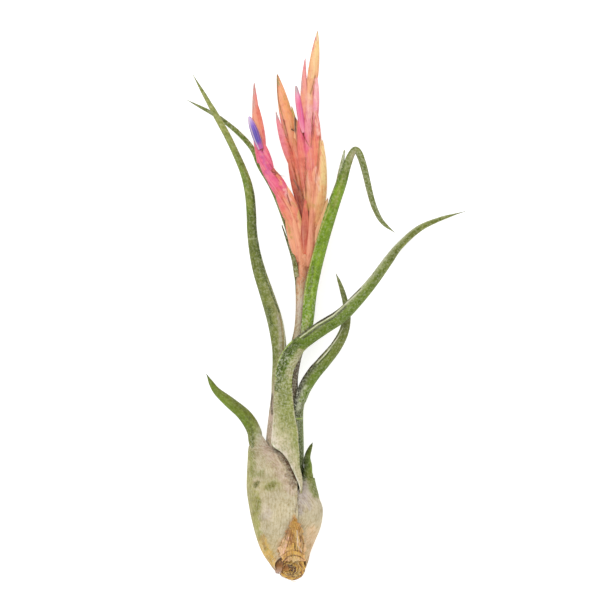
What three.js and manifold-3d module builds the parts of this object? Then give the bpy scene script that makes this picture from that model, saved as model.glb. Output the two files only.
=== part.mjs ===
// An air plant with a bulb of hollow leaf sheaths, seven curling channelled leaves and a flower
// stalk that carries three spikes of bracts and two flowers. It lies on a surface on its side.
// Millimetres, +Z up from the surface, +Y from the bulb towards the flowers.
// The origin is on the surface, in the small flat spot under the bulb.

import * as THREE from "three";
import { mergeVertices } from "three/addons/utils/BufferGeometryUtils.js";
import Module from "manifold-3d";

const wasm = await Module();
wasm.setup();

// ---------------------------------------------------------------- driving dimensions, mm

const BULB_HEIGHT = 13; // the bulb's middle line over the surface
const NECK_HEIGHT = 14; // the same for the neck where the leaves leave it
const SHEATH_THICK = 0.7;
const BLADE_THICK = 0.8;
const BRACT_THICK = 0.65;
const PETAL_THICK = 0.6;
const BRACT_FLATNESS = 0.62; // a spike is flattened: its depth as a share of its width
const GAP = 0.3; // clearance between neighbouring pieces
const WIDE_RING = 5; // sheath rings of this radius or more stay square to the bulb's axis
const NARROW_RING = 3; // blade rings of this radius or less stay square to the blade
const INNER_SHARE = 0.18; // least inner radius of a channel, as a share of its outer radius
const EDGE_SHARE = 0.15; // how much thinner a channel is at its margins than at its keel
const DEGREES = Math.PI / 180;

// ---------------------------------------------------------------- colours

const COLOUR = {
  sheath: 0xc3bd9c,
  leaf: 0x7f9a4c,
  silverLeaf: 0x8f9c78,
  brightLeaf: 0x74a02c,
  stem: 0xb98a52,
  dryBract: 0xc99a58,
  coral: 0xf0806a,
  pink: 0xee6a86,
  orange: 0xf49a70,
  violet: 0x7048b8,
  magenta: 0xb45ab8,
};

// ---------------------------------------------------------------- channelled leaves
// A station is [x, y, z, outer radius, first angle, last angle, thickness]. The angles are read
// round the path, looking back from the tip: 0 to the right, 90 up, 180 to the left, 270 down.

const LEAVES = {
  // Outermost sheath: it wraps the front, left and underside of the bulb, then a short blade.
  leaf_f: {
    colour: COLOUR.sheath,
    rings: 24,
    across: 12,
    stations: [
      [2.4, -23.4, 16.2, 6.4, 158, 290, SHEATH_THICK],
      [1.5, -20.6, 14.4, 7.8, 128, 294, SHEATH_THICK],
      [0.55, -17.5, 13.3, 8.85, 90, 296, SHEATH_THICK],
      [0.5, -13.2, 13.4, 10.6, 76, 296, SHEATH_THICK],
      [0.9, -7.7, 12.8, 12.6, 74, 296, SHEATH_THICK],
      [0.4, -1.8, BULB_HEIGHT, 13.4, 71, 296, SHEATH_THICK],
      [-0.9, 5.1, 12.9, 13.1, 65, 294, SHEATH_THICK],
      [-1.4, 10, BULB_HEIGHT, 12.65, 62, 290, SHEATH_THICK],
      [-1.9, 13.6, BULB_HEIGHT, 12.0, 60, 285, SHEATH_THICK],
      [-2.9, 17, 13.3, 10.8, 66, 280, SHEATH_THICK],
      [-5.2, 19.6, 14.3, 8.4, 63, 270, SHEATH_THICK],
      [-8.3, 21.8, 14.4, 5.0, 62, 255, SHEATH_THICK],
      [-10.3, 23.9, 13.4, 3.19, 38, 245, BLADE_THICK],
      [-11.1, 27, 12.0, 2.8, 30, 240, BLADE_THICK],
      [-12.8, 30.5, 10.9, 2.77, 30, 240, BLADE_THICK],
      [-15.8, 34.1, 9.0, 2.5, 30, 240, BLADE_THICK],
      [-20.9, 38.2, 6.0, 2.05, 20, 220, BLADE_THICK],
      [-25.6, 42.3, 3.0, 1.28, 5, 200, BLADE_THICK],
      [-29.0, 48.1, 0.3, 0.4, 0, 180, BLADE_THICK],
    ],
  },
  // Sheath on the right side of the bulb, tucked under leaf_f above and below.
  leaf_g: {
    colour: COLOUR.sheath,
    rings: 18,
    across: 9,
    stations: [
      [2.7, -22.6, 16.2, 5.1, -58, 12, SHEATH_THICK],
      [2.8, -20.4, 15.2, 5.8, -60, 34, SHEATH_THICK],
      [2.3, -17.5, 14.3, 7.0, -64, 72, SHEATH_THICK],
      [1.6, -13.2, 13.6, 9.4, -72, 90, SHEATH_THICK],
      [1.8, -7.7, 12.9, 11.4, -76, 88, SHEATH_THICK],
      [1.7, -1.8, BULB_HEIGHT, 12.2, -76, 82, SHEATH_THICK],
      [0.8, 2.2, BULB_HEIGHT, 11.9, -74, 70, SHEATH_THICK],
      [1.0, 4.4, 13.1, 11.2, -73, 54, SHEATH_THICK],
      [1.3, 6.6, 13.3, 10.3, -72, 66, SHEATH_THICK],
      [4.3, 8.8, 14.2, 6.8, -74, 74, SHEATH_THICK],
      [6.7, 10.8, 15.1, 4.0, -80, 88, SHEATH_THICK],
      [7.5, 12.6, 15.6, 2.7, -90, 105, SHEATH_THICK],
      [8.0, 14.6, 16.0, 1.9, -100, 125, BLADE_THICK],
      [8.0, 17.4, 16.5, 1.3, -105, 150, BLADE_THICK],
      [8.8, 20.2, 17.0, 0.95, -105, 150, BLADE_THICK],
      [10.1, 23.0, 17.4, 0.35, -105, 150, BLADE_THICK],
    ],
  },
  // Front leaf: its sheath leaves the bulb between the margins of leaf_f and leaf_g, lies over
  // leaf_f, closes the front of the neck and goes over to a long blade on the right.
  leaf_d: {
    colour: COLOUR.silverLeaf,
    rings: 32,
    across: 6,
    stations: [
      [1.2, -9, BULB_HEIGHT, 5.4, 25, 62, SHEATH_THICK],
      [0.4, -3, BULB_HEIGHT, 6.6, 35, 60, SHEATH_THICK],
      [-0.4, 1.5, BULB_HEIGHT, 9.4, 50, 60, SHEATH_THICK],
      [-0.9, 5.2, BULB_HEIGHT, 12.75, 55, 59.5, SHEATH_THICK],
      [-1.2, 9.4, BULB_HEIGHT, 13.8, 56, 66, SHEATH_THICK],
      [-1.6, 13.6, BULB_HEIGHT, 13.3, 57, 72, SHEATH_THICK],
      [-1.8, 17, 13.2, 12.2, 54, 78, SHEATH_THICK],
      [-1.2, 19.7, 13.6, 10.6, 52, 92, SHEATH_THICK],
      [-0.4, 22.8, NECK_HEIGHT, 8.9, 53, 122, SHEATH_THICK],
      [0.1, 27.4, NECK_HEIGHT, 8.0, 54, 128, SHEATH_THICK],
      [0.0, 33, NECK_HEIGHT, 7.4, 60, 127, SHEATH_THICK],
      [-0.5, 41.8, 14.2, 6.3, 59, 124, SHEATH_THICK],
      [-0.4, 47.3, 14.8, 5.5, 54, 127, SHEATH_THICK],
      [0.8, 52, 15.9, 4.6, 42, 142, SHEATH_THICK],
      [2.9, 56.2, 17.3, 3.6, 20, 160, BLADE_THICK],
      [5.5, 59.1, 18.2, 2.95, 5, 170, BLADE_THICK],
      [9.0, 61.8, 18.7, 2.8, -15, 170, BLADE_THICK],
      [14.1, 65.4, 18.6, 2.85, -20, 165, BLADE_THICK],
      [20.7, 69.7, 17.2, 2.7, -20, 165, BLADE_THICK],
      [27.5, 76.5, 13.9, 2.35, -20, 165, BLADE_THICK],
      [32.8, 82.8, 10.3, 2.05, -20, 165, BLADE_THICK],
      [37.8, 89.7, 6.4, 1.85, -20, 165, BLADE_THICK],
      [42.1, 95.2, 3.2, 1.45, -15, 165, BLADE_THICK],
      [49.0, 101.3, -0.1, 1.25, -10, 170, BLADE_THICK],
      [56.8, 105.0, 0.9, 0.8, -10, 170, BLADE_THICK],
      [66.4, 107.9, 2.4, 0.35, -10, 170, BLADE_THICK],
    ],
  },
  // Right leaf: the right side of the neck, then a blade that curls up behind leaf_d.
  leaf_e: {
    colour: COLOUR.leaf,
    rings: 24,
    across: 6,
    stations: [
      [1.0, -12, BULB_HEIGHT, 5.4, -82, 15, SHEATH_THICK],
      [0.3, -2, 13.2, 6.0, -84, 25, SHEATH_THICK],
      [0.0, 10, 13.6, 6.8, -86, 52, SHEATH_THICK],
      [0.2, 22, NECK_HEIGHT, 6.7, -86, 64, SHEATH_THICK],
      [0.4, 31.9, NECK_HEIGHT, 6.3, -84, 68, SHEATH_THICK],
      [1.6, 36.3, 13.9, 5.4, -80, 76, SHEATH_THICK],
      [4.4, 40.0, 14.2, 3.85, -72, 97, SHEATH_THICK],
      [7.1, 43.9, 13.5, 3.0, -70, 132, BLADE_THICK],
      [10.6, 48.8, 12.9, 2.85, -65, 145, BLADE_THICK],
      [14.6, 53.3, 12.2, 2.6, -60, 150, BLADE_THICK],
      [18.5, 58.1, 11.2, 2.3, -60, 150, BLADE_THICK],
      [21.3, 63.3, 10.2, 2.0, -60, 150, BLADE_THICK],
      [22.6, 68.7, 9.5, 1.55, -60, 150, BLADE_THICK],
      [22.2, 73.5, 9.1, 1.2, -60, 150, BLADE_THICK],
      [20.9, 78.8, 8.8, 0.95, -60, 150, BLADE_THICK],
      [18.7, 85.0, 8.4, 0.35, -60, 150, BLADE_THICK],
    ],
  },
  // Left leaf: the left side of the neck, then the long blade that leans left.
  leaf_a: {
    colour: COLOUR.leaf,
    rings: 28,
    across: 6,
    stations: [
      [0.8, -12, BULB_HEIGHT, 5.4, 140, 262, SHEATH_THICK],
      [0.0, -2, 13.2, 6.0, 130, 264, SHEATH_THICK],
      [-0.2, 10, 13.6, 6.8, 120, 265, SHEATH_THICK],
      [-0.2, 22, NECK_HEIGHT, 6.9, 112, 265, SHEATH_THICK],
      [0.3, 33, NECK_HEIGHT, 6.3, 110, 264, SHEATH_THICK],
      [0.2, 40, NECK_HEIGHT, 5.3, 108, 245, SHEATH_THICK],
      [-0.4, 46, NECK_HEIGHT, 4.5, 100, 232, SHEATH_THICK],
      [-1.3, 53, 13.8, 3.3, 70, 240, SHEATH_THICK],
      [-1.9, 58.7, 13.5, 3.0, 35, 250, BLADE_THICK],
      [-3.5, 67.5, 13.0, 3.0, 25, 245, BLADE_THICK],
      [-6.4, 77.0, 12.5, 2.75, 25, 245, BLADE_THICK],
      [-9.4, 86.2, 12.0, 2.45, 25, 245, BLADE_THICK],
      [-11.1, 93.7, 11.6, 2.15, 25, 245, BLADE_THICK],
      [-12.0, 100.9, 11.3, 1.95, 25, 245, BLADE_THICK],
      [-12.3, 107.9, 11.0, 1.9, 25, 245, BLADE_THICK],
      [-13.0, 114.9, 10.7, 1.85, 25, 245, BLADE_THICK],
      [-14.8, 121.6, 10.4, 1.55, 25, 245, BLADE_THICK],
      [-17.7, 128.5, 10.0, 1.35, 25, 245, BLADE_THICK],
      [-21.1, 135.6, 9.6, 1.3, 25, 245, BLADE_THICK],
      [-24.9, 142.5, 9.1, 1.2, 25, 245, BLADE_THICK],
      [-29.0, 149.7, 8.6, 0.8, 25, 245, BLADE_THICK],
      [-33.8, 158.0, 8.0, 0.35, 25, 245, BLADE_THICK],
    ],
  },
  // Back leaf: the underside of the neck, then a narrow blade that passes behind the spikes.
  leaf_b: {
    colour: COLOUR.leaf,
    rings: 26,
    across: 5,
    stations: [
      [0.7, -10, BULB_HEIGHT, 4.4, 215, 320, SHEATH_THICK],
      [0.0, 4, 13.4, 5.4, 205, 335, SHEATH_THICK],
      [0.1, 22, NECK_HEIGHT, 5.7, 200, 338, SHEATH_THICK],
      [0.5, 33, NECK_HEIGHT, 5.2, 200, 338, SHEATH_THICK],
      [0.9, 41, 13.4, 4.3, 200, 340, SHEATH_THICK],
      [1.8, 48, 11.8, 3.2, 195, 345, SHEATH_THICK],
      [3.4, 56, 10.2, 2.2, 190, 352, BLADE_THICK],
      [5.1, 66, 9.4, 1.6, 185, 360, BLADE_THICK],
      [5.3, 78.9, 9.2, 1.5, 180, 365, BLADE_THICK],
      [4.1, 89.9, 9.0, 1.45, 170, 365, BLADE_THICK],
      [1.8, 100.1, 8.8, 1.4, 150, 350, BLADE_THICK],
      [-1.6, 110.1, 8.3, 1.35, 120, 330, BLADE_THICK],
      [-4.8, 117.4, 7.7, 1.3, 90, 300, BLADE_THICK],
      [-9.0, 124.5, 7.0, 1.2, 60, 270, BLADE_THICK],
      [-11.7, 130.6, 6.3, 1.1, 40, 250, BLADE_THICK],
      [-15.8, 135.5, 5.5, 1.0, 30, 240, BLADE_THICK],
      [-21.4, 140.4, 4.5, 0.9, 30, 240, BLADE_THICK],
      [-27.3, 144.3, 3.5, 0.75, 30, 240, BLADE_THICK],
      [-36.1, 148.9, 2.2, 0.35, 30, 240, BLADE_THICK],
    ],
  },
  // Upright leaf: innermost, round the stalk, then in front of it and over in a sharp bend.
  leaf_c: {
    colour: COLOUR.brightLeaf,
    rings: 32,
    across: 5,
    stations: [
      [0.7, -10, BULB_HEIGHT, 4.55, -25, 155, SHEATH_THICK],
      [0.1, 4, 13.4, 5.4, -18, 168, SHEATH_THICK],
      [0.2, 22, NECK_HEIGHT, 5.7, -18, 180, SHEATH_THICK],
      [0.5, 33, NECK_HEIGHT, 5.2, -18, 180, SHEATH_THICK],
      [0.5, 40, NECK_HEIGHT, 4.4, -20, 170, SHEATH_THICK],
      [1.2, 47.7, 13.9, 3.7, -35, 150, SHEATH_THICK],
      [3.7, 56.2, 14.0, 2.9, -65, 125, SHEATH_THICK],
      [6.9, 62.4, 15.4, 2.4, -80, 125, BLADE_THICK],
      [8.1, 67.9, 16.6, 2.45, -75, 145, BLADE_THICK],
      [9.4, 79.6, 17.6, 2.6, -70, 148, BLADE_THICK],
      [12.6, 93.6, 19.8, 2.55, -65, 145, BLADE_THICK],
      [16.8, 107.9, 21.4, 2.5, -60, 140, BLADE_THICK],
      [20.2, 117.8, 22.2, 2.3, -60, 140, BLADE_THICK],
      [22.4, 124.4, 22.6, 1.8, -60, 140, BLADE_THICK],
      [24.3, 128.9, 22.8, 1.45, -60, 145, BLADE_THICK],
      [25.9, 130.5, 22.8, 1.2, -60, 150, BLADE_THICK],
      [27.4, 128.6, 22.6, 1.35, -55, 155, BLADE_THICK],
      [29.1, 123.5, 21.9, 1.28, -50, 160, BLADE_THICK],
      [31.1, 114.9, 19.6, 1.1, -40, 170, BLADE_THICK],
      [32.9, 109.0, 17.6, 1.0, -30, 175, BLADE_THICK],
      [35.7, 103.9, 15.4, 0.8, -20, 180, BLADE_THICK],
      [40.3, 100.0, 12.8, 0.35, -10, 180, BLADE_THICK],
    ],
  },
};

// The folded margin that stands out of leaf_c where it bends.
const FOLD = {
  rings: 6,
  across: 4,
  stations: [
    [19.6, 117.5, 22.4, 1.1, 20, 200, BLADE_THICK],
    [20.6, 123.0, 22.9, 0.95, 20, 200, BLADE_THICK],
    [21.9, 130.3, 23.2, 0.35, 20, 200, BLADE_THICK],
  ],
};

// Dead outer leaf base: a torn brown triangle over the front of the bulb's foot.
const DRY_BRACT = {
  colour: COLOUR.dryBract,
  rings: 8,
  across: 5,
  stations: [
    [2.6, -20.4, 15.1, 7.8, 52, 118, BRACT_THICK],
    [1.6, -17.4, 14.2, 9.2, 48, 114, BRACT_THICK],
    [1.1, -13.2, 13.6, 11.5, 57, 100, BRACT_THICK],
    [1.0, -8.4, 13.1, 13.3, 67, 90, BRACT_THICK],
    [0.8, -4.0, BULB_HEIGHT, 14.2, 76, 80, BRACT_THICK],
  ],
};

// ---------------------------------------------------------------- stem and stalk
// Rod stations are [x, y, z, radius]. The short woody stem starts at the scar of the roots,
// which is turned up towards +Z, and goes on as the flower stalk.

const STEM = {
  colour: COLOUR.stem,
  sides: 10,
  rings: 22,
  stations: [
    [2.45, -22.9, 19.5, 4.95],
    [2.9, -21.6, 16.9, 3.9],
    [2.2, -17.5, 14.1, 3.8],
    [0.9, -10, 13.1, 3.2],
    [0.4, 4, 13.5, 2.6],
    [0.4, 22, NECK_HEIGHT, 1.9],
    [1.0, 36, NECK_HEIGHT, 1.7],
    [2.0, 46, 13.9, 1.6],
    [4.0, 58, 13.6, 1.6],
    [5.4, 68, 13.6, 1.7],
    [5.7, 78, 14.0, 1.75],
    [6.4, 86, 14.5, 2.1],
    [7.3, 91.1, 15.0, 2.5],
  ],
};

// Stalk bract: a small pointed leaf close along the stalk's left side.
const STALK_BRACT = {
  rings: 8,
  across: 5,
  stations: [
    [5.4, 84, 14.6, 2.1, 100, 250, BRACT_THICK],
    [4.1, 90, 14.6, 1.7, 90, 250, BRACT_THICK],
    [1.4, 96.5, 14.0, 0.85, 80, 250, BRACT_THICK],
    [-1.1, 103.0, 13.2, 0.35, 80, 250, BRACT_THICK],
  ],
};

// ---------------------------------------------------------------- spikes
// A bract is [base x, base y, tip x, tip y, width, facing]. Facing is 0 right, 90 up, 180 left.

const SPIKES = {
  spike_left: {
    colour: COLOUR.pink,
    height: [16.2, 15.4],
    rachis: [
      [5.5, 92.5, 1.5],
      [4.6, 98.4, 1.35],
      [3.1, 104.2, 1.3],
      [1.1, 109.7, 1.2],
      [-2.9, 117.1, 1.1],
      [-7.0, 124.4, 1.0],
      [-9.2, 131.8, 0.8],
      [-10.1, 140.6, 0.4],
    ],
    bracts: [
      [6.2, 92.1, 0.0, 109.7, 4.0, 145],
      [6.2, 93.6, 4.0, 110.8, 3.3, 40],
      [5.7, 98.7, -3.9, 116.7, 4.2, 145],
      [4.8, 102.4, 0.6, 117.1, 3.5, 40],
      [1.8, 110.1, -8.8, 127.3, 5.0, 140],
      [0.6, 111.6, -3.7, 122.8, 4.0, 50],
      [-3.3, 117.4, -9.9, 131.8, 4.8, 140],
      [-5.0, 118.5, -8.3, 134.0, 3.7, 50],
      [-9.2, 125.5, -11.3, 155.2, 3.3, 110],
      [-7.9, 127.0, -10.5, 148.3, 2.8, 45],
    ],
  },
  spike_middle: {
    colour: COLOUR.coral,
    height: [14.4, 13.9],
    rachis: [
      [8.1, 91.9, 1.5],
      [7.3, 102.8, 1.4],
      [5.9, 113.0, 1.3],
      [4.4, 122.9, 1.1],
      [2.6, 132.9, 0.9],
      [0.7, 143.1, 0.4],
    ],
    bracts: [
      [8.4, 92.5, 3.7, 117.1, 3.5, 150],
      [8.8, 92.9, 6.6, 118.5, 3.7, 50],
      [7.3, 106.1, 1.1, 129.9, 3.4, 150],
      [6.6, 116.3, 2.6, 138.4, 3.7, 80],
      [7.7, 114.9, 4.0, 142.0, 3.5, 45],
      [4.4, 121.8, -3.3, 144.6, 3.9, 150],
      [4.8, 123.7, 2.4, 146.4, 3.3, 50],
      [3.4, 129.6, -2.9, 158.2, 5.0, 90],
    ],
  },
  spike_main: {
    colour: COLOUR.orange,
    height: [17.0, 17.4],
    rachis: [
      [9.3, 91.8, 1.6],
      [9.9, 101.7, 1.5],
      [10.5, 111.9, 1.5],
      [10.5, 121.1, 1.4],
      [10.1, 130.3, 1.2],
      [9.5, 139.5, 1.0],
      [9.4, 149.4, 0.8],
      [10.1, 158.9, 0.4],
    ],
    bracts: [
      [9.5, 92.1, 15.6, 112.7, 4.6, 45],
      [9.2, 92.1, 7.7, 113.4, 4.0, 130],
      [10.5, 100.2, 13.6, 134.0, 5.9, 30],
      [9.5, 107.9, 8.4, 126.6, 4.4, 100],
      [9.5, 109.7, 5.1, 144.6, 4.2, 140],
      [10.8, 114.9, 11.4, 146.4, 4.2, 45],
      [10.1, 115.6, 8.1, 147.5, 4.4, 100],
      [9.2, 135.4, 8.8, 161.1, 3.1, 90],
      [8.3, 137.3, 7.5, 164.0, 3.7, 150],
      [10.3, 137.3, 11.4, 159.5, 2.9, 40],
      [9.5, 150.1, 12.0, 174.0, 3.9, 90],
    ],
  },
};

// A form gives, from base to tip, the radius as a share of the half width and the half angle
// that the channel spans; bow is how far it bows out, as a share of its length; lean is how far
// its base sinks and its tip rises, mm, so that a lower bract lies over the foot of the next.
const BRACT_FORM = {
  shape: [0.6, 0.92, 1, 0.86, 0.56, 0.1],
  spread: [105, 105, 100, 95, 90, 85],
  thick: BRACT_THICK,
  bow: 0.02,
  lean: 0.6,
};

// ---------------------------------------------------------------- flowers
// Three petals rolled to a tube that opens a little at the tip.

const FLOWERS = {
  flower_left: {
    colour: COLOUR.violet,
    base: [-8.9, 130.6, 17.2],
    tip: [-13.2, 142.6, 17.6],
    radius: 1.25,
  },
  flower_bud: {
    colour: COLOUR.magenta,
    base: [6.7, 136.6, 17.9],
    tip: [4.0, 153.9, 17.6],
    radius: 1.1,
  },
};
const PETAL_FORM = {
  shape: [0.7, 0.9, 1, 0.95, 0.75, 0.3],
  spread: [72, 72, 72, 72, 72, 72],
  thick: PETAL_THICK,
  bow: 0,
  lean: 0,
};

// The first piece of each pair keeps its clearance from the second, which stands in front of it
// or grows out of it.
const CLEARANCES = [
  ["spike_left", "flower_left"],
  ["spike_main", "flower_bud"],
  ["spike_middle", "flower_bud"],
  ["spike_middle", "spike_left"],
  ["spike_middle", "spike_main"],
  ["spike_main", "spike_left"],
];

// ---------------------------------------------------------------- geometry

const UP = new THREE.Vector3(0, 0, 1);
const ALONG = new THREE.Vector3(0, 1, 0);

// A smooth row of numbers through the stations: column values at place u, from 0 to 1.
function sample(stations, u) {
  const last = stations.length - 1;
  const place = Math.min(u * last, last - 1e-9);
  const i = Math.floor(place);
  const t = place - i;
  const at = (k) => stations[Math.min(Math.max(k, 0), last)];
  return stations[0].map((_, column) => {
    const [a, b, c, d] = [at(i - 1), at(i), at(i + 1), at(i + 2)].map((s) => s[column]);
    const bend = 2 * a - 5 * b + 4 * c - d + t * (3 * (b - c) + d - a);
    return b + 0.5 * t * (c - a + t * bend);
  });
}

// The path's direction at place u, and the two axes of the ring that is square to it.
function ringAxes(stations, u, radius) {
  const step = 0.004;
  const before = sample(stations, Math.max(u - step, 0));
  const after = sample(stations, Math.min(u + step, 1));
  const forward = new THREE.Vector3(...after).sub(new THREE.Vector3(...before)).normalize();
  const wide = THREE.MathUtils.clamp((radius - NARROW_RING) / (WIDE_RING - NARROW_RING), 0, 1);
  forward.lerp(ALONG, wide).normalize();
  const up = UP.clone().addScaledVector(forward, -UP.dot(forward)).normalize();
  return { up, side: forward.clone().cross(up) };
}

// Joins rings of equally many points to one closed surface, with flat fans at both ends.
function skin(rings) {
  const count = rings[0].length;
  const index = [];
  for (let i = 0; i + 1 < rings.length; i++) {
    for (let j = 0; j < count; j++) {
      const a = i * count + j;
      const b = i * count + ((j + 1) % count);
      index.push(a, b + count, b, a, a + count, b + count);
    }
  }
  return { points: rings.flat(), index, count };
}

function toSolid(points, index) {
  const geometry = new THREE.BufferGeometry().setFromPoints(points);
  geometry.setIndex(index);
  const merged = mergeVertices(geometry, 1e-4);
  const vertProperties = new Float32Array(merged.attributes.position.array);
  const triVerts = new Uint32Array(merged.index.array);
  return new wasm.Manifold(new wasm.Mesh({ numProp: 3, vertProperties, triVerts }));
}

// A closed channel: an outer arc and an inner arc, carried along the stations.
function channel({ stations, rings, across, flatness = 1 }) {
  const rows = [];
  for (let i = 0; i <= rings; i++) {
    const u = i / rings;
    const [x, y, z, radius, first, last, thick] = sample(stations, u);
    const { up, side } = ringAxes(stations, u, radius);
    const arc = (j, inner) => {
      const v = j / across;
      const angle = (first + (last - first) * v) * DEGREES;
      const thin = 1 - EDGE_SHARE * (2 * v - 1) ** 2;
      const r = inner ? Math.max(radius - thick * thin, radius * INNER_SHARE) : radius;
      const point = new THREE.Vector3(x, y, z);
      point.addScaledVector(side, r * Math.cos(angle));
      point.addScaledVector(up, r * Math.sin(angle) * flatness);
      point.z = Math.max(point.z, 0);
      return point;
    };
    const row = [];
    for (let j = 0; j <= across; j++) row.push(arc(j, false));
    for (let j = across; j >= 0; j--) row.push(arc(j, true));
    rows.push(row);
  }
  const { points, index, count } = skin(rows);
  const end = rings * count;
  for (let j = 0; j < across; j++) {
    const [a, b, c, d] = [j, j + 1, count - 2 - j, count - 1 - j];
    index.push(a, b, c, a, c, d);
    index.push(end + a, end + c, end + b, end + a, end + d, end + c);
  }
  return toSolid(points, index);
}

// A round rod along the stations.
function rod({ stations, rings, sides }) {
  const rows = [];
  for (let i = 0; i <= rings; i++) {
    const [x, y, z, radius] = sample(stations, i / rings);
    const { up, side } = ringAxes(stations, i / rings, 0);
    const row = [];
    for (let j = 0; j < sides; j++) {
      const angle = (2 * Math.PI * j) / sides;
      const point = new THREE.Vector3(x, y, z);
      point.addScaledVector(side, radius * Math.cos(angle));
      point.addScaledVector(up, radius * Math.sin(angle));
      row.push(point);
    }
    rows.push(row);
  }
  const { points, index, count } = skin(rows);
  const end = rings * count;
  for (let j = 1; j + 1 < count; j++) {
    index.push(0, j, j + 1, end, end + j + 1, end + j);
  }
  return toSolid(points, index);
}

// The stations of one bract or petal from its base to its tip.
function bladeStations({ base, tip, width, facing }, { shape, spread, thick, bow, lean }) {
  const from = new THREE.Vector3(...base);
  const path = new THREE.Vector3(...tip).sub(from);
  const forward = path.clone().normalize();
  const up = UP.clone().addScaledVector(forward, -UP.dot(forward)).normalize();
  const side = forward.clone().cross(up);
  const out = side.multiplyScalar(Math.cos(facing * DEGREES));
  out.addScaledVector(up, Math.sin(facing * DEGREES));
  return shape.map((share, i) => {
    const t = i / (shape.length - 1);
    const middle = from.clone().addScaledVector(path, t);
    middle.addScaledVector(out, 4 * t * (1 - t) * bow * path.length());
    middle.addScaledVector(up, lean * (2 * t - 1));
    return [...middle, (width / 2) * share, facing - spread[i], facing + spread[i], thick];
  });
}

function spikeSolid({ height, rachis, bracts }) {
  const [firstY, lastY] = [rachis[0][1], rachis.at(-1)[1]];
  const level = (y) => THREE.MathUtils.mapLinear(y, firstY, lastY, height[0], height[1]);
  const stations = rachis.map(([x, y, radius]) => [x, y, level(y), radius]);
  const axis = rod({ stations, rings: 8, sides: 6 });
  return bracts.reduce((joined, [x0, y0, x1, y1, width, facing]) => {
    const place = { base: [x0, y0, level(y0)], tip: [x1, y1, level(y1)], width, facing };
    const made = bladeStations(place, BRACT_FORM);
    return joined.add(channel({ stations: made, rings: 5, across: 4, flatness: BRACT_FLATNESS }));
  }, axis);
}

function flowerSolid({ base, tip, radius }) {
  const petals = [90, 210, 330].map((facing) => {
    const made = bladeStations({ base, tip, width: 2 * radius, facing }, PETAL_FORM);
    return channel({ stations: made, rings: 4, across: 2 });
  });
  return petals.reduce((joined, petal) => joined.add(petal));
}

// What is left of a solid when a neighbour and a clearance round it are taken away.
function clearOf(solid, neighbour) {
  let left = solid.subtract(neighbour);
  for (const [x, y, z] of [[1, 0, 0], [0, 1, 0], [0, 0, 1]]) {
    for (const reach of [GAP, -GAP]) {
      left = left.subtract(neighbour.translate([reach * x, reach * y, reach * z]));
    }
  }
  const bodies = left.decompose();
  return bodies.sort((a, b) => b.volume() - a.volume())[0];
}

function toMesh(name, solid, colour) {
  const { numProp, vertProperties, triVerts } = solid.getMesh();
  const points = [];
  for (let i = 0; i < vertProperties.length; i += numProp) {
    points.push(new THREE.Vector3(vertProperties[i], vertProperties[i + 1], vertProperties[i + 2]));
  }
  const geometry = new THREE.BufferGeometry().setFromPoints(points);
  geometry.setIndex(new THREE.BufferAttribute(triVerts, 1));
  geometry.computeVertexNormals();
  const material = new THREE.MeshStandardMaterial({ color: colour, roughness: 0.75, metalness: 0 });
  const mesh = new THREE.Mesh(geometry, material);
  mesh.name = name;
  return mesh;
}

// ---------------------------------------------------------------- the plant

const solids = new Map();
for (const [name, leaf] of Object.entries(LEAVES)) {
  solids.set(name, { solid: channel(leaf), colour: leaf.colour });
}
solids.get("leaf_c").solid = solids.get("leaf_c").solid.add(channel(FOLD));
solids.set("dry_bract", { solid: channel(DRY_BRACT), colour: DRY_BRACT.colour });
solids.set("stem", { solid: rod(STEM).add(channel(STALK_BRACT)), colour: STEM.colour });
for (const [name, flower] of Object.entries(FLOWERS)) {
  solids.set(name, { solid: flowerSolid(flower), colour: flower.colour });
}
for (const [name, spike] of Object.entries(SPIKES)) {
  solids.set(name, { solid: spikeSolid(spike), colour: spike.colour });
}

for (const [name, neighbour] of CLEARANCES) {
  solids.get(name).solid = clearOf(solids.get(name).solid, solids.get(neighbour).solid);
}

const plant = new THREE.Group();
for (const [name, { solid, colour }] of solids) plant.add(toMesh(name, solid, colour));

export default plant;
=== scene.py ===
import math
import random

import bmesh
import bpy
import numpy as np
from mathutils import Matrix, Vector, noise


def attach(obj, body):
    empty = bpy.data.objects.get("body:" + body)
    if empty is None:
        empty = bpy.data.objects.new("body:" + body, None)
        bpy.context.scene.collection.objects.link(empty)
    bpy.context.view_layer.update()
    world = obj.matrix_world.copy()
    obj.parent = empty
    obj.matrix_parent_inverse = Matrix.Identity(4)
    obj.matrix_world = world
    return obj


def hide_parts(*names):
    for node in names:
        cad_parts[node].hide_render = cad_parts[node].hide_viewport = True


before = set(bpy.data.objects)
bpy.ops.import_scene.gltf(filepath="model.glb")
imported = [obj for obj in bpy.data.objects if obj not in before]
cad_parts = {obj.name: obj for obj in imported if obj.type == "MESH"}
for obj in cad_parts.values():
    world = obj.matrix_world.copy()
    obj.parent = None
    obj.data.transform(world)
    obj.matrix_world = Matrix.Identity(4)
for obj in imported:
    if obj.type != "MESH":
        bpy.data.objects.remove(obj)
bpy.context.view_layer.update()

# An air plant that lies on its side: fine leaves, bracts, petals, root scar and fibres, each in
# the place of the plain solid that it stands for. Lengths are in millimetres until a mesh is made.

# ---------------- driving dimensions, mm

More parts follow.
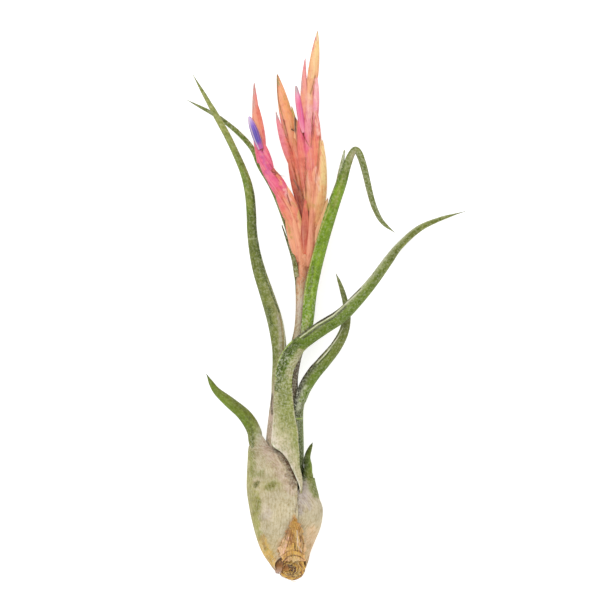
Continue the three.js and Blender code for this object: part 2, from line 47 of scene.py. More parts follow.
MM = 0.001
BULB_HEIGHT = 13  # how high the bulb's middle lies over the surface
NECK_HEIGHT = 14
SHEATH = 0.7  # thickness of the leaf bases
BLADE = 0.8
BRACT_THICK = 0.65
PETAL_THICK = 0.6
TORN_THICK = 0.35
THREAD_RADIUS = 0.14
RIB_HEIGHT = 0.03
RIB_STEP = 5  # from one rib of a leaf to the next, in points across it
BRACT_KEEL = 0.12
KEEL_WIDTH = 0.07  # as a share of the way across
BRACT_FLATNESS = 0.62
WIDE_RING = 5  # from this radius on, a ring stands square to the plant's length
NARROW_RING = 3  # up to this radius, a ring stands square to its own path
SLOPE_STEP = 0.004  # how far along a path its direction is read, as a share of it
INNER_SHARE = 0.18  # the least inner radius, as a share of the outer one
EDGE_SHARE = 0.15  # how much thinner a blade gets towards its sides
MARGIN_SHARE = 0.5  # how much thinner a blade's very margin is
MOST_INSET = 0.12  # the most of a section that the round of one margin takes up
TIP_START = 0.965  # where a blade's tip starts to taper
TIP_TAPER = 0.75  # how much of its radius it loses there
FRAY_SHARE = 0.05  # how far along a torn base the teeth reach
LEAF_WAVE = 0.12  # how far a leaf's margins wander
WAVE_PITCH = 0.35  # how fast they wander, in steps for each millimetre
WAVE_DEGREES = 60
FIBRE_SIDES = 5
FIBRE_TAPER = 0.7
SCAR_RINGS = 80
SCAR_SIDES = 150
SCAR_THREADS = 70
SCAR_LAYER = 1.25  # from one torn layer of the root scar to the next
SCAR_DEPTH = 0.8
SCAR_RAGGED = 0.07
SCAR_EYE = (-1.2, -0.5)  # the middle of its layers, from the middle of the scar
# Painted shade: the scar's deep hollow is painted nearly black, as its shadow.
SCAR_HOLLOW_SHADE = [(290, 566), (294, 572)]  # the darkest part of the scar, in pixels
DRY_THREADS = 60
STALK_TOP = [7.9, 92.2, 15.1, 2.9]
PHOTO_SCALE = 0.367  # millimetres for each pixel of the photograph
PHOTO_ORIGIN = (285, 505)  # the pixel over the frame's origin
PHOTO_WIDTH = 600
FINE_MARK = 2.5  # marks wider than this, in pixels, get ragged edges
LEAF_SHADE = 0.08  # how much lighter and darker a leaf's broad patches are
MARGIN_SCURF = 0.25  # how much more scurf lies on the margins
CAMERA_HEIGHT = 4.0  # this and the floor's reach and drop are in metres
FLOOR_REACH = 3.0
FLOOR_DROP = -0.00005
FLOOR_GLOW = 0.68
SKY_STRENGTH = 0.62
SEED_STEP = 5.0  # how far apart the noise of two leaves is read
RANDOM = random.Random(11)

# ---------------- colours

PALETTE = dict(
    silver_tan="C6BA9A", tan="B2AB7E", pale_green="A2A65E", moss="788034", flush="A8A65A", olive="606B2C",
    spot="565A14", green="6C8420", mid_green="7A8F30", bright="80A01C", lime="A9C24C", grey_green="868E54",
    dark_green="46541E", silver="C9CBB4", lilac_grey="B9ABA6", pink_grey="C9ADA0", pink_white="E6D6C8",
    umber="6A5448", charcoal="4C4A42", gold="E4B85A", straw="E3C78E", ochre="CB9450", brown="9A6632",
    deep_brown="50301A", cream="E9E2C4", chalk="F8F2E2", sand="D6C8A8", buff="ECC8A0", soot="2E2018",
    coral="E8785E", peach="EFA27C", hot_pink="EA5C88", rose="E6808C", pink="F09CA8", orchid="F49CB8",
    blush="F8CDBC", orange="F0A062", apricot="F4BC84", yellow="F4D490", rust="B8523A", brick="8E3A24",
    olive_gold="C0964C", lavender="CBB0DC", violet="7450BC", deep_violet="4C34A0", magenta="B8509E",
)


def srgb(name):
    """A palette colour as three shares of full brightness, still in display values."""
    digits = PALETTE[name]
    return np.array([int(digits[i:i + 2], 16) / 255 for i in (0, 2, 4)])


def linear(values):
    values = np.asarray(values, float)
    return np.where(values <= 0.04045, values / 12.92, ((values + 0.055) / 1.055) ** 2.4)


# ---------------- leaves
# A station is [x, y, z, outer radius, first angle, last angle]. The angles are read round the path,
# looking back from the tip: 0 to the right, 90 up, 180 to the left, 270 down. The first stations,
# as many as sheath says, are the sheath's. A stop of outer is (place along the leaf, its colours at the
# first angle, in the middle and at the last angle, or one colour for all three).

LEAVES = {
    "leaf_f": dict(
        slot="sheath", fray=1.2, rings=230, across=110, sheath=12,
        stations=[
            [2.4, -23.4, 16.2, 6.4, 158, 290], [1.5, -20.6, 14.4, 7.8, 128, 294],
            [0.55, -17.5, 13.3, 8.85, 90, 296], [0.5, -13.2, 13.4, 10.6, 76, 296],
            [0.9, -7.7, 12.8, 12.6, 74, 296], [0.4, -1.8, BULB_HEIGHT, 13.4, 71, 296],
            [-0.9, 5.1, 12.9, 13.1, 65, 294], [-1.4, 10, BULB_HEIGHT, 12.65, 62, 290],
            [-1.9, 13.6, BULB_HEIGHT, 12, 60, 285], [-2.9, 17, 13.3, 10.8, 66, 280],
            [-5.2, 19.6, 14.3, 8.4, 63, 270], [-8.3, 21.8, 14.4, 5, 62, 255],
            [-10.3, 23.9, 13.4, 3.19, 38, 245], [-11.1, 27, 12, 2.8, 30, 240],
            [-12.8, 30.5, 10.9, 2.77, 30, 240], [-15.8, 34.1, 9, 2.5, 30, 240], [-20.9, 38.2, 6, 2.05, 20, 220],
            [-25.6, 42.3, 3, 1.28, 5, 200], [-29, 48.1, 0.3, 0.4, 0, 180],
        ],
        outer=[
            (0, "pink_grey ochre brown"), (0.1, "sand gold tan"), (0.2, "sand sand tan"),
            (0.33, "sand silver_tan tan"), (0.5, "sand silver_tan tan"), (0.6, "pink_grey tan pale_green"),
            (0.68, "silver moss mid_green"), (0.78, "moss green mid_green"), (0.88, "moss mid_green bright"),
            (1, "moss mid_green mid_green"),
        ],
        inner=[(0, "straw"), (0.5, "tan"), (0.7, "green"), (1, "olive")],
        scurf=[(0, 0.3), (0.5, 0.38), (0.62, 0.6), (0.7, 0.3), (0.8, 0.1), (1, 0.1)],
    ),
    "leaf_g": dict(
        slot="sheath", fray=1.0, rings=150, across=80, sheath=12,
        stations=[
            [2.7, -22.6, 16.2, 5.1, -72, 12], [2.8, -20.4, 15.2, 5.8, -72, 34], [2.3, -17.5, 14.3, 7, -72, 72],
            [1.6, -13.2, 13.6, 9.4, -72, 90], [1.8, -7.7, 12.9, 11.4, -76, 88],
            [1.7, -1.8, BULB_HEIGHT, 12.2, -76, 82], [0.8, 2.2, BULB_HEIGHT, 11.9, -74, 70],
            [1, 4.4, 13.1, 11.2, -73, 74], [1.3, 6.6, 13.3, 10.3, -72, 66], [4.3, 8.8, 14.2, 6.8, -74, 74],
            [6.7, 10.8, 15.1, 4, -80, 88], [7.5, 12.6, 15.6, 2.7, -90, 105], [8, 14.6, 16, 1.9, -100, 125],
            [8, 17.4, 16.5, 1.3, -105, 150], [8.8, 20.2, 17, 0.95, -105, 150],
            [10.1, 23, 17.4, 0.35, -105, 150],
        ],
        outer=[
            (0, "buff buff straw"), (0.14, "buff"), (0.3, "sand"),
            (0.45, "tan sand lilac_grey"), (0.54, "pale_green pale_green lilac_grey"),
            (0.63, "mid_green mid_green lilac_grey"), (0.72, "mid_green moss olive"),
            # The dark_green at the last angle is painted shade on the blade's concave left half.
            (0.8, "mid_green green dark_green"), (1, "olive olive dark_green"),
        ],
        inner=[(0, "straw"), (0.5, "tan"), (0.7, "olive"), (1, "olive")],
        scurf=[(0, 0.3), (0.5, 0.35), (0.75, 0.15), (1, 0.1)],
    ),
    "leaf_d": dict(
        slot="leaf", rings=460, across=36, sheath=14,
        stations=[
            [1.2, -9, BULB_HEIGHT, 5.4, 25, 62], [0.4, -3, BULB_HEIGHT, 6.6, 35, 60],
            [-0.4, 1.5, BULB_HEIGHT, 9.4, 50, 60], [-0.9, 5.2, BULB_HEIGHT, 12.75, 55, 59.5],
            [-1.2, 9.4, BULB_HEIGHT, 13.8, 56, 66], [-1.6, 13.6, BULB_HEIGHT, 13.3, 57, 72],
            [-1.8, 17, 13.2, 12.2, 54, 78], [-1.2, 19.7, 13.6, 10.6, 52, 92],
            [-0.4, 22.8, NECK_HEIGHT, 8.9, 53, 122], [0.1, 27.4, NECK_HEIGHT, 8, 54, 128],
            [0, 33, NECK_HEIGHT, 7.4, 60, 127], [-0.5, 41.8, 14.2, 6.3, 59, 124],
            [-0.4, 47.3, 14.8, 5.5, 54, 127], [0.8, 52, 15.9, 4.6, 42, 142], [2.9, 56.2, 17.3, 3.6, 20, 160],
            [5.5, 59.1, 18.2, 2.95, 5, 170], [9, 61.8, 18.7, 2.8, -15, 170], [14.1, 65.4, 18.6, 2.85, -20, 165],
            [20.7, 69.7, 17.2, 2.7, -20, 165], [27.5, 76.5, 13.9, 2.35, -20, 165],
            [32.8, 82.8, 10.3, 2.05, -20, 165], [37.8, 89.7, 6.4, 1.85, -20, 165],
            [42.1, 95.2, 3.2, 1.45, -15, 165], [49, 101.3, -0.1, 1.25, -10, 170],
            [56.8, 105, 0.9, 0.8, -10, 170], [66.4, 107.9, 2.4, 0.35, -10, 170],
        ],
        outer=[
            (0, "tan"), (0.16, "silver_tan sand pink_white"), (0.33, "pale_green sand pink_white"),
            (0.4, "pale_green pale_green silver_tan"), (0.5, "pale_green grey_green pale_green"),
            (0.56, "silver_tan green dark_green"), (0.64, "mid_green green grey_green"),
            (0.74, "mid_green green silver"), (0.86, "pale_green moss silver"),
            (1, "pale_green moss grey_green"),
        ],
        inner=[(0, "tan"), (0.5, "green"), (1, "olive")],
        scurf=[(0, 0.4), (0.36, 0.3), (0.44, 0.5), (0.54, 0.6), (0.6, 0.15), (0.72, 0.2), (1, 0.3)],
    ),
    "leaf_e": dict(
        slot="leaf", rings=260, across=44, sheath=7,
        stations=[
            [1, -12, BULB_HEIGHT, 5.4, -82, 15], [0.3, -2, 13.2, 6, -84, 25], [0, 10, 13.6, 6.8, -86, 52],
            [0.2, 22, NECK_HEIGHT, 6.7, -86, 64], [0.4, 31.9, NECK_HEIGHT, 6.3, -84, 68],
            [1.6, 36.3, 13.9, 5.4, -80, 76], [4.4, 40, 14.2, 3.85, -72, 97], [7.1, 43.9, 13.5, 3, -70, 132],
            [10.6, 48.8, 12.9, 2.85, -65, 145], [14.6, 53.3, 12.2, 2.6, -60, 150],
            [18.5, 58.1, 11.2, 2.3, -60, 150], [21.3, 63.3, 10.2, 2, -60, 150],
            [22.6, 68.7, 9.5, 1.55, -60, 150], [22.2, 73.5, 9.1, 1.2, -60, 150],
            [20.9, 78.8, 8.8, 0.95, -60, 150], [18.7, 85, 8.4, 0.35, -60, 150],
        ],
        outer=[
            # The charcoal at the last angle is painted shade along the leaf's left side.
            (0, "tan"), (0.2, "pale_green mid_green dark_green"), (0.34, "pale_green moss charcoal"),
            (0.42, "mid_green green charcoal"), (0.52, "mid_green green grey_green"),
            (0.68, "grey_green moss grey_green"), (0.84, "grey_green moss grey_green"),
            (1, "grey_green"),
        ],
        inner=[(0, "tan"), (0.5, "olive"), (1, "olive")],
        scurf=[(0, 0.3), (0.38, 0.5), (0.44, 0.5), (0.5, 0.2), (1, 0.25)],
    ),
    "leaf_a": dict(
        slot="leaf", rings=440, across=44, sheath=8,
        stations=[
            [0.8, -12, BULB_HEIGHT, 5.4, 140, 262], [0, -2, 13.2, 6, 130, 264], [-0.2, 10, 13.6, 6.8, 120, 265],
            [-0.2, 22, NECK_HEIGHT, 6.9, 112, 265], [0.3, 33, NECK_HEIGHT, 6.3, 110, 264],
            [0.2, 40, NECK_HEIGHT, 5.3, 108, 245], [-0.4, 46, NECK_HEIGHT, 4.5, 100, 232],
            [-1.3, 53, 13.8, 3.3, 70, 240], [-1.9, 58.7, 13.5, 3, 35, 250], [-3.5, 67.5, 13, 3, 25, 245],
            [-6.4, 77, 12.5, 2.75, 25, 245], [-9.4, 86.2, 12, 2.45, 25, 245],
            [-11.1, 93.7, 11.6, 2.15, 25, 245], [-12, 100.9, 11.3, 1.95, 25, 245],
            [-12.3, 107.9, 11, 1.9, 25, 245], [-13, 114.9, 10.7, 1.85, 25, 245],
            [-14.8, 121.6, 10.4, 1.55, 25, 245], [-17.7, 128.5, 10, 1.35, 25, 245],
            [-21.1, 135.6, 9.6, 1.3, 25, 245], [-24.9, 142.5, 9.1, 1.2, 25, 245],
            [-29, 149.7, 8.6, 0.8, 25, 245], [-33.8, 158, 8, 0.35, 25, 245],
        ],
        outer=[
            (0, "tan"), (0.18, "pink_grey pink_grey tan"), (0.28, "pink_grey tan tan"),
            (0.34, "tan moss moss"), (0.44, "tan moss moss"), (0.54, "grey_green moss green"),
            (0.6, "olive moss mid_green"), (0.68, "olive green mid_green"), (0.74, "moss mid_green pale_green"),
            (0.88, "pale_green"), (1, "grey_green pale_green pale_green"),
        ],
        inner=[(0, "tan"), (0.4, "moss"), (1, "olive")],
        scurf=[(0, 0.35), (0.4, 0.25), (0.6, 0.2), (0.8, 0.15), (1, 0.2)],
    ),
    "leaf_b": dict(
        slot="leaf", rings=360, across=36, sheath=6,
        stations=[
            [0.7, -10, BULB_HEIGHT, 4.4, 215, 320], [0, 4, 13.4, 5.4, 205, 335],
            [0.1, 22, NECK_HEIGHT, 5.7, 200, 338], [0.5, 33, NECK_HEIGHT, 5.2, 200, 338],
            [0.9, 41, 13.4, 4.3, 200, 340], [1.8, 48, 11.8, 3.2, 195, 345], [3.4, 56, 10.2, 2.2, 190, 352],
            [5.1, 66, 9.4, 1.6, 185, 360], [5.3, 78.9, 9.2, 1.5, 180, 365], [4.1, 89.9, 9, 1.45, 170, 365],
            [1.8, 100.1, 8.8, 1.4, 150, 350], [-1.6, 110.1, 8.3, 1.35, 120, 330],
            [-4.8, 117.4, 7.7, 1.3, 90, 300], [-9, 124.5, 7, 1.2, 60, 270], [-11.7, 130.6, 6.3, 1.1, 40, 250],
            [-15.8, 135.5, 5.5, 1, 30, 240], [-21.4, 140.4, 4.5, 0.9, 30, 240],
            [-27.3, 144.3, 3.5, 0.75, 30, 240], [-36.1, 148.9, 2.2, 0.35, 30, 240],
        ],
        outer=[
            (0, "tan"), (0.25, "pale_green"), (0.5, "mid_green mid_green moss"),
            (0.8, "moss mid_green pale_green"), (1, "grey_green"),
        ],
        inner=[(0, "tan"), (0.4, "olive"), (1, "dark_green")],
        scurf=[(0, 0.3), (0.5, 0.3), (1, 0.4)],
    ),
    "leaf_c": dict(
        slot="leaf", rings=440, across=44, sheath=7,
        stations=[
            [0.7, -10, BULB_HEIGHT, 4.55, -25, 155], [0.1, 4, 13.4, 5.4, -18, 168],
            [0.2, 22, NECK_HEIGHT, 5.7, -18, 180], [0.5, 33, NECK_HEIGHT, 5.2, -18, 180],
            [0.5, 40, NECK_HEIGHT, 4.4, -20, 170], [1.2, 47.7, 13.9, 3.7, -35, 150],
            [3.7, 56.2, 14, 2.9, -65, 125], [6.9, 62.4, 15.4, 2.4, -80, 125], [8.1, 67.9, 16.6, 2.45, -75, 145],
            [9.4, 79.6, 17.6, 2.6, -70, 148], [12.6, 93.6, 19.8, 2.55, -65, 145],
            [16.8, 107.9, 21.4, 2.5, -60, 140], [20.2, 117.8, 22.2, 2.3, -60, 140],
            [22.4, 124.4, 22.6, 1.8, -60, 140], [24.3, 128.9, 22.8, 1.45, -60, 145],
            [25.9, 130.5, 22.8, 1.2, -60, 150], [27.4, 128.6, 22.6, 1.35, -55, 155],
            [29.1, 123.5, 21.9, 1.28, -50, 160], [31.1, 114.9, 19.6, 1.1, -40, 170],
            [32.9, 109, 17.6, 1, -30, 175], [35.7, 103.9, 15.4, 0.8, -20, 180],
            [40.3, 100, 12.8, 0.35, -10, 180],
        ],
        outer=[
            (0, "tan"), (0.26, "umber umber pink_grey"), (0.33, "silver pale_green silver_tan"),
            (0.37, "mid_green bright bright"), (0.47, "grey_green bright bright"),
            (0.56, "mid_green bright bright"), (0.6, "mid_green"),
            (0.66, "grey_green silver_tan grey_green"), (0.78, "silver_tan grey_green moss"),
            (1, "pale_green grey_green grey_green"),
        ],
        inner=[(0, "tan"), (0.4, "green"), (1, "olive")],
        scurf=[(0, 0.5), (0.36, 0.6), (0.46, 0.12), (0.62, 0.2), (0.75, 0.4), (1, 0.4)],
    ),
}

FOLD_STATIONS = [
    [19.6, 117.5, 22.4, 1.1, 20, 200], [20.6, 123, 22.9, 0.95, 20, 200], [21.9, 130.3, 23.2, 0.35, 20, 200],
]
DRY_STATIONS = [
    [2.6, -20.4, 15.1, 7.8, 52, 118], [1.6, -17.4, 14.2, 9.2, 48, 114], [1.1, -13.2, 13.6, 11.5, 57, 100],
    [1, -8.4, 13.1, 13.3, 67, 90], [0.8, -4, BULB_HEIGHT, 14.2, 76, 80],
]
STEM_STATIONS = [
    [2.45, -22.9, 19.5, 4.95], [2.9, -21.6, 16.9, 3.9], [2.2, -17.5, 14.1, 3.8], [0.9, -10, 13.1, 3.2],
    [0.4, 4, 13.5, 2.6], [0.4, 22, NECK_HEIGHT, 1.9], [1, 36, NECK_HEIGHT, 1.7], [2, 46, 13.9, 1.6],
    [4, 58, 13.6, 1.6], [5.4, 68, 13.6, 1.7], [5.7, 78, 14, 1.75], [6.4, 86, 14.5, 2.1], [7.3, 91.1, 15, 2.5],
]
STALK_BRACT_STATIONS = [
    [5.4, 84, 14.6, 2.1, 100, 250], [4.1, 90, 14.6, 1.7, 90, 250], [1.4, 96.5, 14, 0.85, 80, 250],
    [-1.1, 103, 13.2, 0.35, 80, 250],
]
# Each shell has its stations, the colour of its torn foot and the colour further in.
TORN_BASES = [
    ([
        [2.1, -24.7, 16, 5.6, 128, 262], [2, -22.6, 15.4, 6.1, 118, 255], [1.8, -20.6, 14.5, 6.85, 108, 250],
        [1, -17.5, 13.5, 8, 102, 250],
    ], "pink_grey", "brown"),
    ([
        [2.3, -24, 15.4, 4.9, 100, 262], [2.2, -22.2, 15, 5.2, 100, 255], [1.9, -18.5, 14.2, 5.8, 100, 250],
    ], "ochre", "brown"),
]

# ---------------- colour stops of stem, scar and dead base

STALK_STOPS = [(0, "brown"), (0.06, "ochre"), (0.2, "tan"), (0.6, "pink_grey"), (0.72, "silver_tan"),
               (0.79, "pink_white"), (0.84, "buff"), (0.9, "peach"), (1, "peach")]
DRY_STOPS = [(0, "apricot straw apricot"), (0.5, "straw gold buff"), (1, "ochre gold ochre")]
# A tone of the scar is (colour, relief where it starts, relief that it takes to be full, strength). The low,
# dark tones are partly painted shade in the cracks, and the high, light ones partly painted highlight on the
# crests.
SCAR_TONES = [("brown", 0.1, 0.15, 1), ("ochre", 0.28, 0.2, 1), ("gold", 0.45, 0.25, 1),
              ("straw", 0.75, 0.2, 0.8)]

# ---------------- spikes and flowers
# A bract is (base x, base y, tip x, tip y, width, facing, colours low, middle, high and at the rim).

SPIKES = {
    "spike_left": dict(
        height=(16.2, 15.4),
        rachis=[
            [6.2, 87.5, 0.8], [5.5, 92.5, 1.5], [4.6, 98.4, 1.35], [3.1, 104.2, 1.3], [1.1, 109.7, 1.2],
            [-2.9, 117.1, 1.1], [-7, 124.4, 1], [-9.2, 131.8, 0.8], [-10.1, 140.6, 0.4],
        ],
        bracts=[
            (6.7, 86.5, 0, 109.7, 4.1, 145, "peach peach coral olive_gold"),
            (6.9, 87.5, 4, 110.8, 3.3, 40, "peach apricot olive_gold peach"),
            (5.7, 98.7, -3.9, 116.7, 4.2, 145, "peach coral hot_pink rose"),
            (4.8, 102.4, 0.6, 117.1, 3.5, 40, "peach coral apricot peach"),
            (1.8, 110.1, -8.8, 127.3, 5, 140, "coral hot_pink hot_pink hot_pink"),
            (0.6, 111.6, -3.7, 122.8, 4, 50, "coral hot_pink coral peach"),
            (-3.3, 117.4, -9.9, 131.8, 4.8, 140, "hot_pink hot_pink hot_pink magenta"),
            (-5, 118.5, -8.3, 134, 3.7, 50, "hot_pink hot_pink coral rose"),
            (-9.2, 125.5, -11.3, 155.2, 3.3, 110, "hot_pink peach rose coral"),
            (-7.9, 127, -10.5, 148.3, 2.8, 45, "hot_pink coral coral rose"),
        ],
    ),
    "spike_middle": dict(
        height=(14.4, 13.9),
        rachis=[
            [8.1, 91.9, 1.5], [7.3, 102.8, 1.4], [5.9, 113, 1.3], [4.4, 122.9, 1.1], [2.6, 132.9, 0.9],
            [0.7, 143.1, 0.4],
        ],
        bracts=[
            (8.4, 92.5, 3.7, 117.1, 3.5, 150, "rust rust rust brick"),
            (8.8, 92.9, 6.6, 118.5, 3.7, 50, "rust rust coral brick"),
            (7.3, 106.1, 1.1, 129.9, 3.4, 150, "brick rust coral rose"),
            (6.6, 116.3, 2.6, 138.4, 3.7, 80, "rust coral ochre coral"),
            (7.7, 114.9, 4, 142, 3.5, 45, "coral peach olive_gold coral"),
            (4.4, 121.8, -3.3, 144.6, 3.9, 150, "coral rose pink coral"),
            (4.8, 123.7, 2.4, 146.4, 3.3, 50, "coral apricot olive_gold peach"),
            (3.4, 129.6, -2.9, 158.2, 5, 90, "peach orange apricot peach"),
        ],
    ),
    "spike_main": dict(
        height=(17, 17.4),
        rachis=[
            [8.6, 87.5, 0.8], [9.3, 91.8, 1.6], [9.9, 101.7, 1.5], [10.5, 111.9, 1.5], [10.5, 121.1, 1.4],
            [10.1, 130.3, 1.2], [9.5, 139.5, 1], [9.4, 149.4, 0.8], [10.1, 158.9, 0.4],
        ],
        bracts=[
            (8.4, 88, 15.6, 112.7, 4.6, 45, "peach apricot yellow peach"),
            (8.4, 87, 7.7, 113.4, 4, 130, "coral rust coral coral"),
            (10.5, 100.2, 13.6, 134, 5.9, 30, "apricot yellow apricot coral"),
            (9.5, 107.9, 8.4, 126.6, 4.4, 100, "ochre peach rose peach"),
            (9.5, 109.7, 5.1, 144.6, 4.2, 140, "coral coral hot_pink rose"),
            (10.8, 114.9, 11.4, 146.4, 4.2, 45, "coral coral rose orange"),
            (10.1, 115.6, 8.1, 147.5, 4.4, 100, "coral rose pink coral"),
            (9.2, 135.4, 8.8, 161.1, 3.1, 90, "rose peach apricot peach"),
            (8.3, 137.3, 7.5, 164, 3.7, 150, "rose peach pink rose"),
            (10.3, 137.3, 11.4, 159.5, 2.9, 40, "rose pink pink rose"),
            (9.5, 150.1, 12, 174, 3.9, 90, "peach apricot yellow orange"),
        ],
    ),
}
SPIKE_FOOT = 92  # where the spikes leave the stalk; below it their bases sink into it, mm for each mm
SPIKE_SINK = 0.25
BRACT_SHAPE = [0.6, 0.92, 1, 0.86, 0.56, 0.1]
BRACT_SPREAD = [105, 105, 100, 95, 90, 85]
BRACT_BOW = 0.02
BRACT_LEAN = 0.6  # how far a bract's base sinks and its tip rises, mm

FLOWERS = {
    "flower_left": dict(
        base=[-8.9, 130.6, 17.2], tip=[-13.2, 142.6, 17.6], radius=1.5, stripe="pink_white",
        stops=[(0, "magenta"), (0.12, "magenta"), (0.25, "deep_violet"), (0.5, "deep_violet"), (0.7, "violet"),
               (0.88, "lavender"), (1, "lavender")],
    ),
    "flower_bud": dict(
        base=[6.7, 136.6, 17.9], tip=[4, 153.9, 17.6], radius=1.25, stripe="pink",
        stops=[(0, "pink"), (0.3, "hot_pink"), (0.6, "hot_pink"), (0.78, "orchid"), (0.9, "lilac_grey"),
               (1, "lilac_grey")],
    ),
}
PETAL_SHAPE = [0.7, 0.9, 1, 0.95, 0.75, 0.3]
PETAL_SPREAD = [72] * 6

# The small blobs on a spike: middle, size and colour. The withered thread hangs from the left one.
SPECKS = {
    "spike_left": [((-3.6, 122.4, 17.6), 0.75, "rust")],
    "spike_middle": [((2.9, 137.6, 16.2), 0.35, "deep_brown")],
    "spike_main": [((6.7, 136, 16.4), 1.4, "hot_pink"), ((6.9, 134.8, 16.2), 1.3, "hot_pink")],
}
THREAD_ROUTE = [(-3.6, 122.4, 17.9), (-2, 121, 18.2), (0.2, 120.6, 17.9)]

# ---------------- marks
# A mark is (colour, strength, width, route): a soft stroke. Its width is in pixels of the photograph, and
# its route gives the pixels that it runs through.

